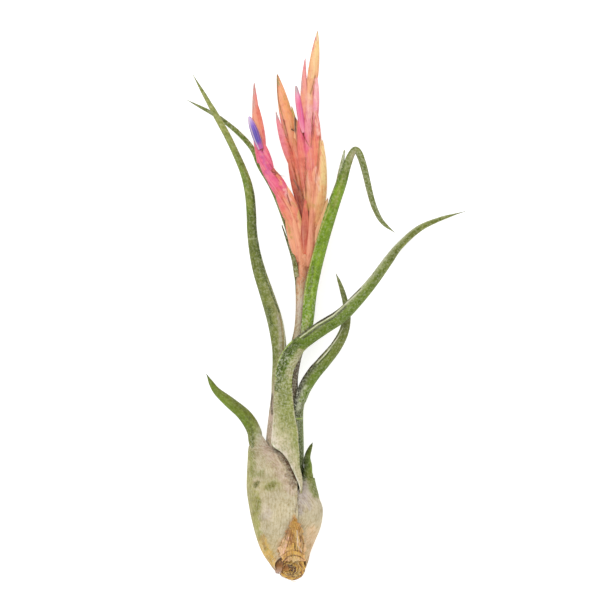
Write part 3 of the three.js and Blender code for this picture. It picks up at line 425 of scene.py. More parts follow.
MARKS = {
    "leaf_f": dict(
        left_flush=("flush", 0.8, 8, [(249, 452), (249, 480), (252, 512), (258, 538)]),
        upper_spot=("spot", 1, 7.5, [(268.5, 487), (273, 484)]),
        upper_halo=("flush", 0.5, 13, [(266, 486), (277, 484)]),
        left_spot=("spot", 0.9, 5.5, [(254.5, 486), (257, 483)]),
        green_patch=("spot", 0.8, 6, [(259, 500), (258, 506), (255, 512)]),
        green_fall=("flush", 0.9, 9, [(256, 494), (257, 508), (256, 526)]),
        green_top=("moss", 0.6, 7, [(252, 452), (253, 475), (262, 472)]),
        pale_patch=("pink_white", 0.6, 8, [(266, 507), (270, 518)]),
        lilac_patch=("lilac_grey", 0.45, 8, [(262, 517), (270, 512)]),
        warm_patch=("sand", 0.6, 12, [(284, 490), (288, 510), (280, 530)]),
        grey_patch=("tan", 0.5, 8, [(257, 470), (265, 478)]),
        gold_stain=("gold", 1, 9, [(263, 539), (268, 551), (274, 564)]),
        edge_green=("flush", 0.8, 4, [(256, 520), (261, 536), (266, 549)]),
        ochre_stain=("ochre", 0.7, 3.5, [(262, 536), (265, 548)]),
        pink_base=("buff", 0.8, 7, [(281, 540), (277, 556), (278, 575)]),
        # The next four marks are painted shadow: the shade that the raised margin of leaf_d casts on leaf_f
        # beside it.
        shade_above=("pink_grey", 0.7, 13, [(268, 452), (280, 470), (292, 490)]),
        margin_shade=("umber", 0.75, 8, [(276, 450), (284, 458), (290, 468), (296, 482)]),
        painted_shadow_pool=("deep_brown", 0.7, 4.5, [(284, 457), (290, 466), (296, 479)]),
        shade_purple=("umber", 0.5, 4, [(287, 474), (294, 487)]),
        seam=("umber", 0.6, 1.6, [(299, 487), (298, 500), (295, 511)]),
        dry_edge=("ochre", 0.75, 5, [(294, 516), (287, 534), (279, 551)]),
        dry_foot=("brown", 0.6, 3, [(288, 535), (281, 550), (277, 563)]),
        blade_line=("olive", 0.9, 3, [(231, 398), (246, 411), (252, 428), (253, 446)]),
    ),
    "leaf_g": dict(
        lilac_seam=("lilac_grey", 0.9, 7, [(303, 488), (303, 500), (300, 512)]),
        green_strip=("mid_green", 0.95, 6, [(312, 462), (313, 478), (318, 495)]),
        green_fan=("moss", 1, 9, [(307, 473), (312, 484), (316, 494)]),
        tan_left=("lilac_grey", 0.8, 5, [(303, 491), (307, 500), (310, 508)]),
        low_buff=("buff", 0.95, 12, [(312, 530), (308, 552)]),
        # Painted shade on the concave inner face at the blade's left side.
        shaded_inner_side=("dark_green", 0.9, 4, [(304, 480), (305, 470), (307, 460)]),
        # Painted shade along the right side of the bulb, where it turns away from the light.
        shaded_right_edge=("silver_tan", 0.6, 3, [(321, 500), (323, 520), (319, 545)]),
        straw_base=("straw", 0.6, 6, [(307, 548), (305, 560)]),
        foot=("brown", 0.6, 3, [(309, 556), (306, 566)]),
    ),
    "leaf_d": dict(
        left_margin=("pink_white", 0.95, 2.4, [(272, 400), (273, 420), (272, 443)]),
        lower_margin=("chalk", 1, 2.5, [(272, 444), (285, 457), (295, 475), (300, 488)]),
        right_margin=("silver_tan", 0.8, 1.6, [(292, 392), (294, 410), (298, 435), (300, 460)]),
        rim=("lime", 1, 1.6, [(274.5, 380), (276, 366), (283, 351), (292, 341)]),
        rim_shade=("dark_green", 0.7, 2.4, [(277, 376), (279, 364), (286, 352), (294, 343)]),
        turn_green=("green", 0.95, 10, [(279, 374), (286, 360), (298, 348), (316, 336), (330, 324)]),
        turn_dark=("dark_green", 0.7, 7, [(277, 388), (280, 370), (288, 355), (298, 345)]),
        silver_patch=("grey_green", 0.8, 5, [(312, 333), (326, 325)]),
        upper_line=("soot", 0.95, 2.2, [(298, 336), (305, 331), (316, 323), (324, 319), (332, 314), (347, 300),
            (360, 288)]),
        upper_white=("chalk", 0.9, 1.2, [(300, 337.5), (317, 325), (333, 315.5), (348, 302), (362, 289)]),
        upper_second=("charcoal", 0.85, 1.7, [(303, 338.5), (318, 327), (334, 317.5), (346, 306.5)]),
        lower_edge=("lime", 0.6, 1.6, [(300, 354), (318, 343), (336, 328)]),
        speckled_edge=("silver_tan", 0.85, 8, [(289, 375), (294, 360), (300, 351)]),
    ),
    "leaf_e": dict(
        ring=("lime", 0.9, 1.6, [(294, 419), (304, 418)]),
        grey_side=("silver", 0.85, 5, [(298, 410), (300, 398), (306, 387)]),
        # The next two marks are painted shade on the inner face at the leaf's left side, darkest towards its
        # base.
        painted_shade_base=("soot", 0.85, 6, [(291, 416), (291, 398), (297, 384), (304, 375)]),
        dark_upper=("charcoal", 0.65, 7, [(299, 388), (305, 377), (314, 366)]),
        dark_line=("soot", 0.85, 2.2, [(297, 386), (308, 370), (316, 361), (325, 351), (336, 337)]),
        white_line=("chalk", 0.9, 1.2, [(317, 363), (327, 352.5), (337.5, 338), (343, 328)]),
        inner_line=("dark_green", 0.85, 1.6, [(308, 374), (319, 363), (331, 350)]),
        bright_side=("green", 0.75, 6, [(302, 400), (312, 383), (326, 366)]),
    ),
    "leaf_a": dict(
        brown_strip=("pink_grey", 0.9, 3, [(270, 412), (268, 430), (266, 447)]),
        # Painted shadow in the narrow crack under the margin of leaf_d.
        painted_slit_shadow=("umber", 0.95, 2, [(272, 394), (271.5, 404), (272, 414)]),
        tan_stripe=("lilac_grey", 0.75, 4, [(278, 316), (281, 332), (281, 352)]),
        brown_line=("brown", 0.5, 1.2, [(280, 316), (283, 334), (283, 350)]),
        white_line=("chalk", 0.9, 1.2, [(281.5, 314), (284.5, 334), (285, 350)]),
        dark_edge=("dark_green", 0.8, 1.8, [(266, 280), (272, 294), (279, 312)]),
        dark_edge_up=("dark_green", 0.75, 1.8, [(253, 190), (255, 215), (256, 238), (262, 263), (266, 280)]),
        pale_upper=("pale_green", 0.7, 6, [(247, 190), (250, 209)]),
        dark_upper=("olive", 0.8, 6, [(250, 216), (252, 228)]),
        pale_ring=("silver", 0.6, 1.6, [(248, 239.5), (257, 238.5)]),
        dark_middle=("olive", 0.7, 5, [(256, 250), (260, 266), (264, 280)]),
        pale_left=("grey_green", 0.7, 4, [(259, 290), (266, 312), (271, 335)]),
        dark_low=("dark_green", 0.5, 5, [(268, 310), (272, 325)]),
    ),
    "leaf_b": dict(
        shade_under=("dark_green", 0.6, 3, [(284, 208), (289, 225), (292, 240)]),
    ),
    "spike_left": dict(
        hot=("hot_pink", 1, 14, [(260, 148), (267, 168), (277, 186)]),
        peach_low=("peach", 0.7, 10, [(289, 206), (297, 232), (302, 252)]),
        coral_turn=("coral", 0.6, 7, [(278, 190), (286, 204)]),
        orange_patch=("orange", 0.85, 4, [(277, 173), (281, 184)]),
        blush_shoulder=("blush", 0.7, 4, [(284, 190), (290, 200)]),
        olive_edge=("olive_gold", 0.9, 3, [(284, 214), (291, 238)]),
        gold_spots=("ochre", 0.8, 3, [(291, 203), (296, 206)]),
        red_line=("brick", 0.8, 1.4, [(287, 195), (291, 206)]),
        right_rose=("rose", 0.8, 4, [(256, 92), (262, 112), (265, 138)]),
        red_core=("coral", 0.9, 4, [(257, 108), (260, 122), (262, 136)]),
        dark_left=("magenta", 0.5, 4, [(259, 144), (263, 158), (269, 174)]),
        left_peach=("pink_grey", 0.8, 4, [(254, 84), (253, 98), (252, 112)]),
        withered=("brick", 0.9, 3, [(272, 171), (276, 173)]),
    ),
    "spike_middle": dict(
        rust_low=("rust", 0.9, 11, [(297, 184), (303, 215), (307, 244)]),
        left_peach=("peach", 1, 6, [(278.5, 86), (281, 104), (286, 126)]),
        olive_right=("olive_gold", 0.5, 4, [(285, 96), (291, 112), (293, 130)]),
        yellow_right=("lime", 0.55, 3, [(289, 98), (294, 116)]),
        green_tip=("grey_green", 0.9, 3, [(277.5, 75), (278.5, 84)]),
        pink_left=("rose", 0.9, 8, [(279, 117), (284, 134), (289, 152)]),
        coral_mid=("rust", 0.6, 6, [(290, 160), (296, 182)]),
        brown_mid=("brown", 0.6, 2.6, [(290, 150), (295, 172), (299, 190)]),
        dark_line=("soot", 1, 2.2, [(295.3, 118), (295.5, 132)]),
        thin_seam=("brick", 0.85, 1.4, [(295.5, 131), (298.8, 147.5), (304, 158)]),
        top_seam=("brown", 0.85, 1.3, [(277, 82), (278.3, 101), (282.4, 116), (284.5, 128), (287.5, 142)]),
        left_seam=("brick", 0.9, 1.5, [(283.8, 120), (287.9, 136.6), (289.5, 150), (294.7, 164)]),
        cross_seam=("deep_brown", 0.85, 1.5, [(294, 180), (301.6, 194), (308.4, 206.4)]),
        low_seam=("brick", 0.9, 1.5, [(304.3, 214.6), (308, 232), (309, 247)]),
        ochre_mid=("ochre", 0.5, 4, [(298, 172), (303, 188), (306, 197)]),
        deep_low=("brick", 0.8, 9, [(298, 192), (303, 212), (307, 244)]),
        pink_mid=("coral", 0.8, 7, [(287, 140), (292, 158), (296, 172)]),
        grey_tip=("lilac_grey", 0.9, 2.4, [(276.5, 112), (277.5, 118)]),
        brick_low=("brick", 0.6, 3, [(303, 222), (306, 236), (308, 250)]),
    ),
    "spike_main": dict(
        peach_body=("peach", 0.6, 10, [(312, 172), (313, 205)]),
        pink_centre=("pink", 0.85, 9, [(309, 108), (311, 128)]),
        hot_left=("hot_pink", 0.7, 5, [(300, 114), (303, 130), (307, 152)]),
        rose_left=("rust", 0.5, 5, [(302, 160), (305, 190)]),
        red_mid=("coral", 0.8, 7, [(311, 138), (313, 158)]),
        top_seam=("brown", 0.85, 1.3, [(315.2, 76), (312.5, 87.4), (309.8, 96)]),
        rose_seam=("brick", 0.8, 1.3, [(313.9, 108), (312.5, 119), (311.8, 136.6), (311, 147.5)]),
        slant_seam=("brick", 0.8, 1.2, [(300.5, 130), (305, 139), (308.4, 145)]),
        body_seam=("brick", 0.85, 1.4, [(305.7, 158.5), (305, 180), (306, 197)]),
        pale_top=("blush", 0.6, 6, [(308, 96), (309, 116)]),
        rose_body=("coral", 0.7, 5, [(310, 152), (311, 180)]),
        left_line=("lilac_grey", 0.8, 1.4, [(302.5, 68), (301.5, 80), (302, 91)]),
        blush_right=("blush", 0.8, 4, [(316, 104), (316.5, 118), (318.5, 134)]),
        yellow_right=("yellow", 0.95, 9, [(322, 143), (324, 165), (325, 178)]),
        apricot_low=("orange", 0.7, 8, [(324, 187), (321, 205), (317, 222)]),
        yellow_edge=("brown", 0.8, 1.4, [(320, 136), (319, 150), (317, 168)]),
        rose_right=("orchid", 0.9, 5, [(316.5, 80), (315.5, 90), (315, 110)]),
        yellow_tip=("yellow", 0.8, 5, [(317, 42), (316, 60), (312, 78)]),
        rose_tip=("rose", 0.8, 2.6, [(316, 35), (312, 54)]),
        pale_tip=("cream", 0.5, 4, [(318, 30), (317, 41)]),
        pale_right=("blush", 0.6, 5, [(317, 80), (316, 101)]),
        rose_top=("rose", 0.45, 3, [(305, 60), (303, 78), (303, 95)]),
        ochre_base=("ochre", 0.95, 5, [(307, 206), (316, 207)]),
        blush_band=("blush", 0.7, 3.5, [(315, 168), (319, 190)]),
        gold_line=("brown", 0.6, 1.4, [(307, 170), (306, 200)]),
        coral_low=("rust", 0.4, 6, [(313, 213), (311, 236)]),
    ),
    "dry_bract": dict(
        apex=("gold", 0.6, 6, [(295, 517), (292, 530)]),
        dark_patch=("brown", 0.85, 5, [(286, 528), (292, 536), (290, 545)]),
        dark_right=("brown", 0.7, 2, [(299, 528), (301, 541), (300, 552)]),
        pale_right=("straw", 0.95, 3.5, [(301, 531), (304, 546)]),
        streaks=("blush", 0.9, 3, [(288, 537), (284, 552)]),
        pink_side=("buff", 0.8, 4, [(284, 540), (280, 556)]),
        pink_right=("buff", 0.95, 4, [(304, 536), (306, 552)]),
        pale_streak=("pink_white", 0.8, 2, [(297, 530), (298, 545), (302, 552)]),
        rim=("gold", 0.95, 4, [(283, 558), (287, 554), (292, 552), (298, 553), (304, 557)]),
        rim_dark=("deep_brown", 0.6, 1.6, [(284, 560), (288, 556), (293, 554.5), (299, 555.5), (304, 559)]),
        rim_line=("brown", 0.6, 1.6, [(282, 555), (287, 551), (292, 549.5), (299, 550.5), (304, 554)]),
    ),
    "leaf_c": dict(
        left_margin=("straw", 0.55, 1.4, [(303, 305), (309, 270), (317, 240), (330, 205)]),
        middle=("lime", 0.45, 3, [(309, 310), (315, 275), (324, 240), (338, 200)]),
        low_tan=("tan", 0.6, 5, [(306, 332), (307, 318)]),
        right_margin=("silver", 0.8, 1.8, [(317, 300), (322, 270), (331, 240), (341, 208)]),
        dark_low=("olive", 0.6, 4, [(308, 296), (312, 280), (313, 262)]),
        dark_high=("olive", 0.7, 5, [(327, 205), (333, 190), (339, 175), (344, 160)]),
        pale_high=("pale_green", 0.8, 5, [(333, 208), (341, 186), (347, 168)]),
    ),
}

# ---------------- numbers along a path


def smooth(values):
    """Eases a share from 0 to 1."""
    values = np.clip(values, 0, 1)
    return values * values * (3 - 2 * values)


def bell(values, middle, width):
    """1 at the middle, falling to 0 on both sides."""
    return np.exp(-((values - middle) / width) ** 2)


def sample(stations, u):
    """Smooth values through the stations at the places u, from 0 to 1."""
    table = np.asarray(stations, float)
    last = len(table) - 1
    place = np.minimum(np.asarray(u, float) * last, last - 1e-9)
    i = np.floor(place).astype(int)
    t = (place - i)[:, None]
    a, b, c, d = (table[np.clip(i + step, 0, last)] for step in (-1, 0, 1, 2))
    bend = 2 * a - 5 * b + 4 * c - d + t * (3 * (b - c) + d - a)
    return b + 0.5 * t * (c - a + t * bend)


def thickened(stations, thick=BLADE, sheath=0):
    """The stations with the wall's thickness added; the first ones are the sheath's."""
    return [[*row, SHEATH if i < sheath else thick] for i, row in enumerate(stations)]


def unit(vectors):
    return vectors / np.linalg.norm(vectors, axis=-1, keepdims=True)


def ring_axes(stations, u, radius=0.0):
    """The sideways and upward axes of the rings at the places u."""
    before = sample(stations, np.maximum(u - SLOPE_STEP, 0))[:, :3]
    after = sample(stations, np.minimum(u + SLOPE_STEP, 1))[:, :3]
    wide = np.reshape(np.clip((radius - NARROW_RING) / (WIDE_RING - NARROW_RING), 0, 1), (-1, 1))
    forward = unit(unit(after - before) * (1 - wide) + np.array([0, 1, 0]) * wide)
    z = np.array([0, 0, 1])
    up = unit(z - forward * forward[:, 2:3])
    return np.cross(forward, up), up


def around(centre, side, up, reach, turn):
    """Points at a reach and a turn, in radians, round the middles of the rings."""
    sideways = side[:, None] * (reach * np.cos(turn))[..., None]
    return centre[:, None] + sideways + up[:, None] * (reach * np.sin(turn))[..., None]


def length_along(centre):
    """How far along the path the middle of each ring lies."""
    return np.concatenate([[0], np.cumsum(np.linalg.norm(np.diff(centre, axis=0), axis=1))])


def ripple(points, scale, seed=0.0):
    """Smooth noise from -1 to 1 at each point."""
    shift = Vector((seed, 2 * seed, 3 * seed))
    return np.array([noise.noise(Vector(p) * scale + shift) for p in points])


def polar_noise(radius, turn, scale, layer):
    """Smooth noise over a disc, at places given by radius and turn."""
    places = zip(np.ravel(radius), np.ravel(turn))
    values = [noise.noise((math.cos(a) * r * scale, math.sin(a) * r * scale, layer)) for r, a in places]
    return np.reshape(values, np.shape(turn))


# ---------------- surfaces


class Surface:
    """Points, faces and the values that the painting and the materials read at each point."""

    def __init__(self, points, faces, values, tint=None):
        self.points = points.reshape(-1, 3)
        self.faces = faces
        self.values = values
        self.tint = tint


def at_points(shape, **values):
    """Each value at every point of a surface whose rings are the rows of the shape."""
    return {key: np.broadcast_to(value, shape).ravel() for key, value in values.items()}


def section(across):
    """The closed section of a channel: places across, layer (1 outer, -1 inner), margin bulge."""
    v = np.linspace(0, 1, across + 1)
    turn = np.radians([45, 90, 135])
    places = np.concatenate([v, np.ones(3), v[::-1], np.zeros(3)])
    layer = np.concatenate([np.ones(across + 1), np.cos(turn), -np.ones(across + 1), -np.cos(turn)])
    bulge = np.concatenate([np.zeros(across + 1), np.sin(turn), np.zeros(across + 1), -np.sin(turn)])
    return places, layer, bulge


def tube_faces(rings, count):
    """Quads between neighbouring rings of equally many points."""
    i, j = np.meshgrid(np.arange(rings), np.arange(count), indexing="ij")
    a = i * count + j
    b = i * count + (j + 1) % count
    return np.stack([a, a + count, b + count, b], axis=-1).reshape(-1, 4).tolist()


def capped_tube(rings, count):
    """A tube's quads with one face on each end."""
    ends = [list(range(first, first + count)) for first in (0, rings * count)]
    return tube_faces(rings, count) + ends


def channel_end(first, across):
    """Quads that close one end of a channel, and the two rounds of its margins."""
    outer = [first + j for j in range(across + 1)]
    inner = [first + 2 * across + 4 - j for j in range(across + 1)]
    faces = [[outer[j], outer[j + 1], inner[j + 1], inner[j]] for j in range(across)]
    faces.append([first + across + k for k in range(5)])
    faces.append([first + 2 * across + 4 + k for k in range(4)] + [first])
    return faces


def fringe(u, turn, fray, seed):
    """How far each point of a torn base hangs past the first ring, in mm: broad and fine teeth."""
    teeth = [noise.noise((9 * a + seed, seed, 0)) + 0.5 * noise.noise((27 * a, seed, 4)) for a in turn[0]]
    return fray * np.array(teeth) * smooth(1 - u / FRAY_SHARE)[:, None]


def channel(stations, rings, across, flatness=1.0, ribs=0, rib_height=0.0, keel=0.0, wave=0.0,
            pitch=WAVE_PITCH, fray=0.0, seed=0.0):
    """A closed channelled blade along the stations, with rounded thin margins and raised ribs."""
    u = np.linspace(0, 1, rings + 1)
    row = sample(stations, u)
    centre = row[:, :3]
    radius, first, last, thick = (row[:, k:k + 1] for k in range(3, 7))
    radius = radius * (1 - TIP_TAPER * smooth((u[:, None] - TIP_START) / (1 - TIP_START)))
    side, up = ring_axes(stations, u, row[:, 3])
    places, layer, bulge = section(across)

    off_keel = np.abs(2 * places - 1)
    thin = 1 - EDGE_SHARE * off_keel ** 2 - MARGIN_SHARE * off_keel ** 8
    half = (radius - np.maximum(radius - thick * thin, radius * INNER_SHARE)) / 2
    inset = np.degrees(half[:, :1] / np.maximum(radius - half[:, :1], 0.05))
    inset = np.minimum(inset, (last - first) * MOST_INSET)
    sway = wave * WAVE_DEGREES / np.maximum(radius, 1)
    start = first + inset + sway * ripple(centre, pitch, seed)[:, None]
    stop = last - inset + sway * ripple(centre, pitch, seed + 7)[:, None]
    angle = start + (stop - start) * places + bulge * inset
    turn = np.radians(angle)
    raised = rib_height * np.cos(2 * np.pi * ribs * places) * np.sin(np.pi * places) ** 0.5
    raised = raised + keel * bell(places, 0.5, KEEL_WIDTH) * np.minimum(radius, 1)
    reach = radius - half + layer * half + raised * (layer > 0.9)

    points = around(centre, side, up * flatness, reach, turn)
    points[..., 1] += fringe(u, turn, fray, seed)
    points[..., 2] = np.maximum(points[..., 2], 0)
    count = len(places)
    faces = tube_faces(rings, count) + channel_end(0, across) + channel_end(rings * count, across)
    values = at_points(reach.shape, u=u[:, None], v=places, outer=(layer + 1) / 2,
                       toward=np.sin(turn) * np.sign(layer + 0.01),
                       grain_x=np.radians(angle - first) * reach, grain_y=length_along(centre)[:, None])
    return Surface(points, faces, values)


def rod(stations, rings, sides):
    """A closed round rod along stations of [x, y, z, radius]."""
    u = np.linspace(0, 1, rings + 1)
    row = sample(stations, u)
    centre, radius = row[:, :3], row[:, 3:4]
    turn = np.linspace(0, 2 * np.pi, sides, endpoint=False)
    points = around(centre, *ring_axes(stations, u), radius, turn)
    values = at_points(points.shape[:2], u=u[:, None], v=turn / (2 * np.pi), outer=1.0,
                       toward=np.sin(turn), grain_x=radius * turn, grain_y=length_along(centre)[:, None])
    return Surface(points, capped_tube(rings, sides), values)


def fibre(points, radius, tone):
    """A thin tapering thread through the points."""
    last = len(points) - 1
    taper = [radius * (1 - FIBRE_TAPER * i / last) for i in range(last + 1)]
    thread = rod([[*place, r] for place, r in zip(points, taper)], 3 * last, FIBRE_SIDES)
    thread.tint = np.tile(srgb(tone), (len(thread.points), 1))
    return thread


def join(surfaces):
    """One surface that holds several, each still closed."""
    faces, start = [], 0
    for part in surfaces:
        faces += [[index + start for index in face] for face in part.faces]
        start += len(part.points)
    values = {key: np.concatenate([part.values[key] for part in surfaces]) for key in surfaces[0].values}
    return Surface(np.concatenate([part.points for part in surfaces]), faces, values,
                   np.concatenate([part.tint for part in surfaces]))


# ---------------- painting


def along_colours(u, stops, column=0):
    """Colours at the places u from stops of (place, one colour or one for each column)."""
    places = [place for place, _ in stops]
    colours = np.array([srgb((names.split() * 3)[column]) for _, names in stops])
    return np.stack([np.interp(u, places, colours[:, k]) for k in range(3)], axis=1)


def mix(a, b, share):
    """Each point's colour between two, by its own share."""
    return a + (b - a) * np.asarray(share, float)[..., None]


def photo_pixels(points):
    """Where each point shows in the photograph."""
    x = points[:, 0] / PHOTO_SCALE + PHOTO_ORIGIN[0]
    y = PHOTO_ORIGIN[1] - points[:, 1] / PHOTO_SCALE
    return np.stack([x, y], axis=1)


def stroke(pixels, width, route):
    """1 along the middle of a stroke through the pixels of a route, falling to 0 at its sides."""
    route = np.asarray(route, float)
    nearest = np.full(len(pixels), np.inf)
    for a, b in zip(route[:-1], route[1:]):
        run = b - a
        t = np.clip((pixels - a) @ run / (run @ run), 0, 1)
        nearest = np.minimum(nearest, np.linalg.norm(pixels - a - t[:, None] * run, axis=1))
    return smooth(1.3 - nearest / (width / 2))


def paint_marks(surface, marks, seed):
    """Strokes in photograph pixels on the side that faces up; the wide ones get ragged edges."""
    facing = smooth(surface.values["toward"] * 5 + 0.2)
    pixels = photo_pixels(surface.points)
    ragged = ripple(surface.points, 0.7, seed) * 1.9 + ripple(surface.points, 1.9, seed) * 1.3
    shifted = pixels + np.stack([ragged, -ragged], axis=1)
    patchy = np.clip(0.85 + ripple(surface.points, 1.1, seed + 5), 0.3, 1)
    for tone, strength, width, route in marks.values():
        fine = width <= FINE_MARK
        amount = stroke(pixels, width, route) if fine else stroke(shifted, width, route) * patchy
        surface.tint = mix(surface.tint, srgb(tone), strength * amount * facing)


def paint_leaf(surface, outer, inner, marks, seed):
    """Base colours along and across, then the marks on the side that faces up."""
    u, v = surface.values["u"], surface.values["v"]
    left, middle, right = (along_colours(u, outer, column) for column in range(3))
    across = mix(mix(left, middle, smooth(2 * v)), right, smooth(2 * v - 1))
    surface.tint = mix(along_colours(u, inner), across, surface.values["outer"])
    paint_marks(surface, marks, seed)
    shade = 1 + LEAF_SHADE * ripple(surface.points, 0.16, seed + 3)
    surface.tint = np.clip(surface.tint * shade[:, None], 0, 1)


def paint_bract(surface, low, middle, high, rim):
    """Three colours along a bract, another towards its sides, and brick at its margins and tip."""
    u = surface.values["u"]
    tint = along_colours(u, [(0, low), (0.5, middle), (1, high)])
    off_keel = np.abs(2 * surface.values["v"] - 1)
    tint = mix(tint, srgb(rim), smooth((off_keel - 0.45) / 0.5) * 0.6)
    tint = mix(tint, srgb("brick"), smooth((off_keel - 0.86) / 0.1) * 0.55)
    surface.tint = mix(tint, srgb("brick"), smooth((u - 0.93) / 0.07) * 0.4)


# ---------------- materials


class Graph:
    """The nodes of one material, added and joined by short calls."""

    def __init__(self, name):
        self.material = bpy.data.materials.new(name)
        self.material.use_nodes = True
        self.tree = self.material.node_tree
        self.shader = self.tree.nodes["Principled BSDF"]

    def add(self, kind, inputs=None, **settings):
        node = self.tree.nodes.new(kind)
        for key, value in settings.items():
            setattr(node, key, value)
        for key, value in (inputs or {}).items():
            self.put(node.inputs[key], value)
        return node

    def put(self, socket, value):
        if isinstance(value, bpy.types.NodeSocket):
            self.tree.links.new(value, socket)
        else:
            socket.default_value = value

    def attribute(self, name, output="Fac"):
        return self.add("ShaderNodeAttribute", attribute_name=name).outputs[output]

    def math(self, operation, a, b, clamp=False):
        return self.add("ShaderNodeMath", {0: a, 1: b}, operation=operation, use_clamp=clamp).outputs[0]

    def mix(self, share, a, b, blend="MIX"):
        node = self.add("ShaderNodeMix", data_type="RGBA", blend_type=blend)
        for index, value in ((0, share), (6, a), (7, b)):
            self.put(node.inputs[index], value)
        return node.outputs[2]

    def shade(self, base, share, factors):
        """The base colour, multiplied by the factors where the share is high."""
        return self.mix(share, base, self.mix(1.0, base, factors, "MULTIPLY"))

    def scaled(self, vector, factors):
        return self.add("ShaderNodeVectorMath", {0: vector, 1: factors}, operation="MULTIPLY").outputs[0]

    def noise(self, vector, scale, detail=3.0, rough=0.6):
        values = {"Vector": vector, "Scale": scale, "Detail": detail, "Roughness": rough}
        return self.add("ShaderNodeTexNoise", values).outputs["Fac"]

    def streaks(self, across, along, detail=3.0, rough=0.6):
        """Noise drawn out along the blade; the numbers are its steps for each millimetre."""
        grain = self.attribute("grain", "Vector")
        return self.noise(self.scaled(grain, (across, along, 1)), 1.0, detail, rough)

    def range(self, value, low, high, to_low=0.0, to_high=1.0):
        values = {"Value": value, "From Min": low, "From Max": high, "To Min": to_low, "To Max": to_high}
        return self.add("ShaderNodeMapRange", values).outputs[0]

    def bump(self, height, distance, strength):
        values = {"Height": height, "Distance": distance, "Strength": strength}
        self.put(self.shader.inputs["Normal"], self.add("ShaderNodeBump", values).outputs[0])

    def millimetres(self):
        place = self.add("ShaderNodeTexCoord").outputs["Object"]
        return self.scaled(place, (1 / MM, 1 / MM, 1 / MM))

    def set(self, **values):
        for key, value in values.items():
            self.put(self.shader.inputs[key.replace("_", " ")], value)


def colour(name):
    return (*linear(srgb(name)), 1.0)


def leaf_material(name, roughness, frost, fleck_share, shadow):
    """Green or tan tissue under silvery scales, with faint lines along the blade."""
    g = Graph(name)
    place = g.millimetres()
    scurf = g.attribute("scurf")
    lines = g.streaks(1.8, 0.09)
    base = g.shade(g.attribute("tint", "Color"), g.range(lines, 0.44, 0.66, 0, 0.5), shadow)
    blotch = g.noise(place, 0.42)
    base = g.shade(base, g.range(blotch, 0.44, 0.66, 0, 0.65), shadow)
    dash = g.streaks(1.5, 0.55, rough=0.65)
    base = g.shade(base, g.range(dash, 0.5, 0.66, 0, 0.75), shadow)
    pale = g.math("MULTIPLY", g.range(dash, 0.5, 0.34), g.math("MULTIPLY", scurf, frost))
    base = g.mix(pale, base, colour("cream"))
    fleck = g.noise(place, 1.25, 4.0, 0.72)
    pits = g.math("MULTIPLY", g.range(fleck, 0.49, 0.36), g.math("ADD", scurf, 0.2), True)
    base = g.shade(base, g.math("MULTIPLY", pits, fleck_share), tuple(share * share for share in shadow))
    scales = g.math("MULTIPLY", g.range(fleck, 0.5, 0.6), g.math("ADD", scurf, 0.1), True)
    base = g.mix(g.math("MULTIPLY", scales, fleck_share), base, colour("silver"))
    height = g.math("ADD", g.math("MULTIPLY", lines, 0.7), g.math("MULTIPLY", fleck, 0.8))
    g.bump(height, 0.35 * MM, 0.7)
    g.set(Base_Color=base, Roughness=g.range(fleck, 0.3, 0.7, roughness - 0.08, roughness + 0.1))
    g.set(Sheen_Weight=0.03, Sheen_Roughness=0.5, Specular_IOR_Level=0.2)
    return g.material


def bract_material():
    """Thin waxy bract with fine veins along it and a paler bloom."""
    g = Graph("bract_skin")
    veins = g.streaks(2.3, 0.09)
    base = g.shade(g.attribute("tint", "Color"), g.range(veins, 0.5, 0.66, 0, 0.7), (0.78, 0.5, 0.48, 1))
    bloom = g.noise(g.millimetres(), 0.5, 4.0, 0.65)
    base = g.mix(g.range(bloom, 0.48, 0.7, 0, 0.22), base, colour("apricot"))
    base = g.shade(base, g.range(bloom, 0.48, 0.3, 0, 0.7), (0.84, 0.52, 0.5, 1))
    pale = g.streaks(1.1, 0.05, 2.0, 0.5)
    base = g.mix(g.range(pale, 0.56, 0.74, 0, 0.25), base, colour("blush"))
    g.bump(veins, 0.3 * MM, 0.6)
    g.set(Base_Color=base, Roughness=g.range(bloom, 0.3, 0.7, 0.42, 0.58))
    g.set(Sheen_Weight=0.15, Sheen_Roughness=0.5)
    return g.material


def petal_material():
    """Silky petal with stripes along it."""
    g = Graph("petal_skin")
    stripes = g.streaks(3.5, 0.08, 2.0, 0.5)
    base = g.mix(g.range(stripes, 0.54, 0.68, 0, 0.35), g.attribute("tint", "Color"), colour("lavender"))
    g.bump(stripes, 0.2 * MM, 0.4)
    g.set(Base_Color=base, Roughness=g.range(stripes, 0.3, 0.7, 0.4, 0.6), Sheen_Weight=0.3)
    return g.material


def dry_material(name, depth):
    """Dead, papery and fibrous tissue, golden brown with dark crevices."""
    g = Graph(name)
    fibres = g.streaks(2.8, 0.2, 4.0, 0.65)
    crevices = g.range(fibres, 0.5, 0.68, 0, depth)
    base = g.shade(g.attribute("tint", "Color"), crevices, (0.5, 0.32, 0.2, 1))
    base = g.mix(g.range(fibres, 0.46, 0.32, 0, 0.75 * depth), base, colour("blush"))
    patches = g.noise(g.millimetres(), 0.8)
    base = g.mix(g.range(patches, 0.5, 0.72, 0, 0.6 * depth), base, colour("apricot"))
    g.bump(fibres, 0.6 * MM, 0.8)
    g.set(Base_Color=base, Roughness=g.range(patches, 0.3, 0.7, 0.7, 0.9))
    return g.material


# ---------------- pieces


def put_in_scene(name, data):
    thing = bpy.data.objects.new(name, data)
    bpy.context.collection.objects.link(thing)
    return thing


def add_values(mesh, surface, scurf):
    """Stores the colours, the grain and the scales where the materials read them."""
    rgba = np.ones((len(surface.points), 4))
    rgba[:, :3] = linear(surface.tint)
    values = surface.values
    grain = np.stack([values["grain_x"], values["grain_y"], values["outer"] * 3], axis=1)
    rows = [("tint", "FLOAT_COLOR", "color", rgba), ("grain", "FLOAT_VECTOR", "vector", grain)]
    if scurf is not None:
        rows.append(("scurf", "FLOAT", "value", scurf))
    for name, kind, key, numbers in rows:
        attribute = mesh.attributes.new(name, kind, "POINT")
        attribute.data.foreach_set(key, numbers.astype(np.float32).ravel())


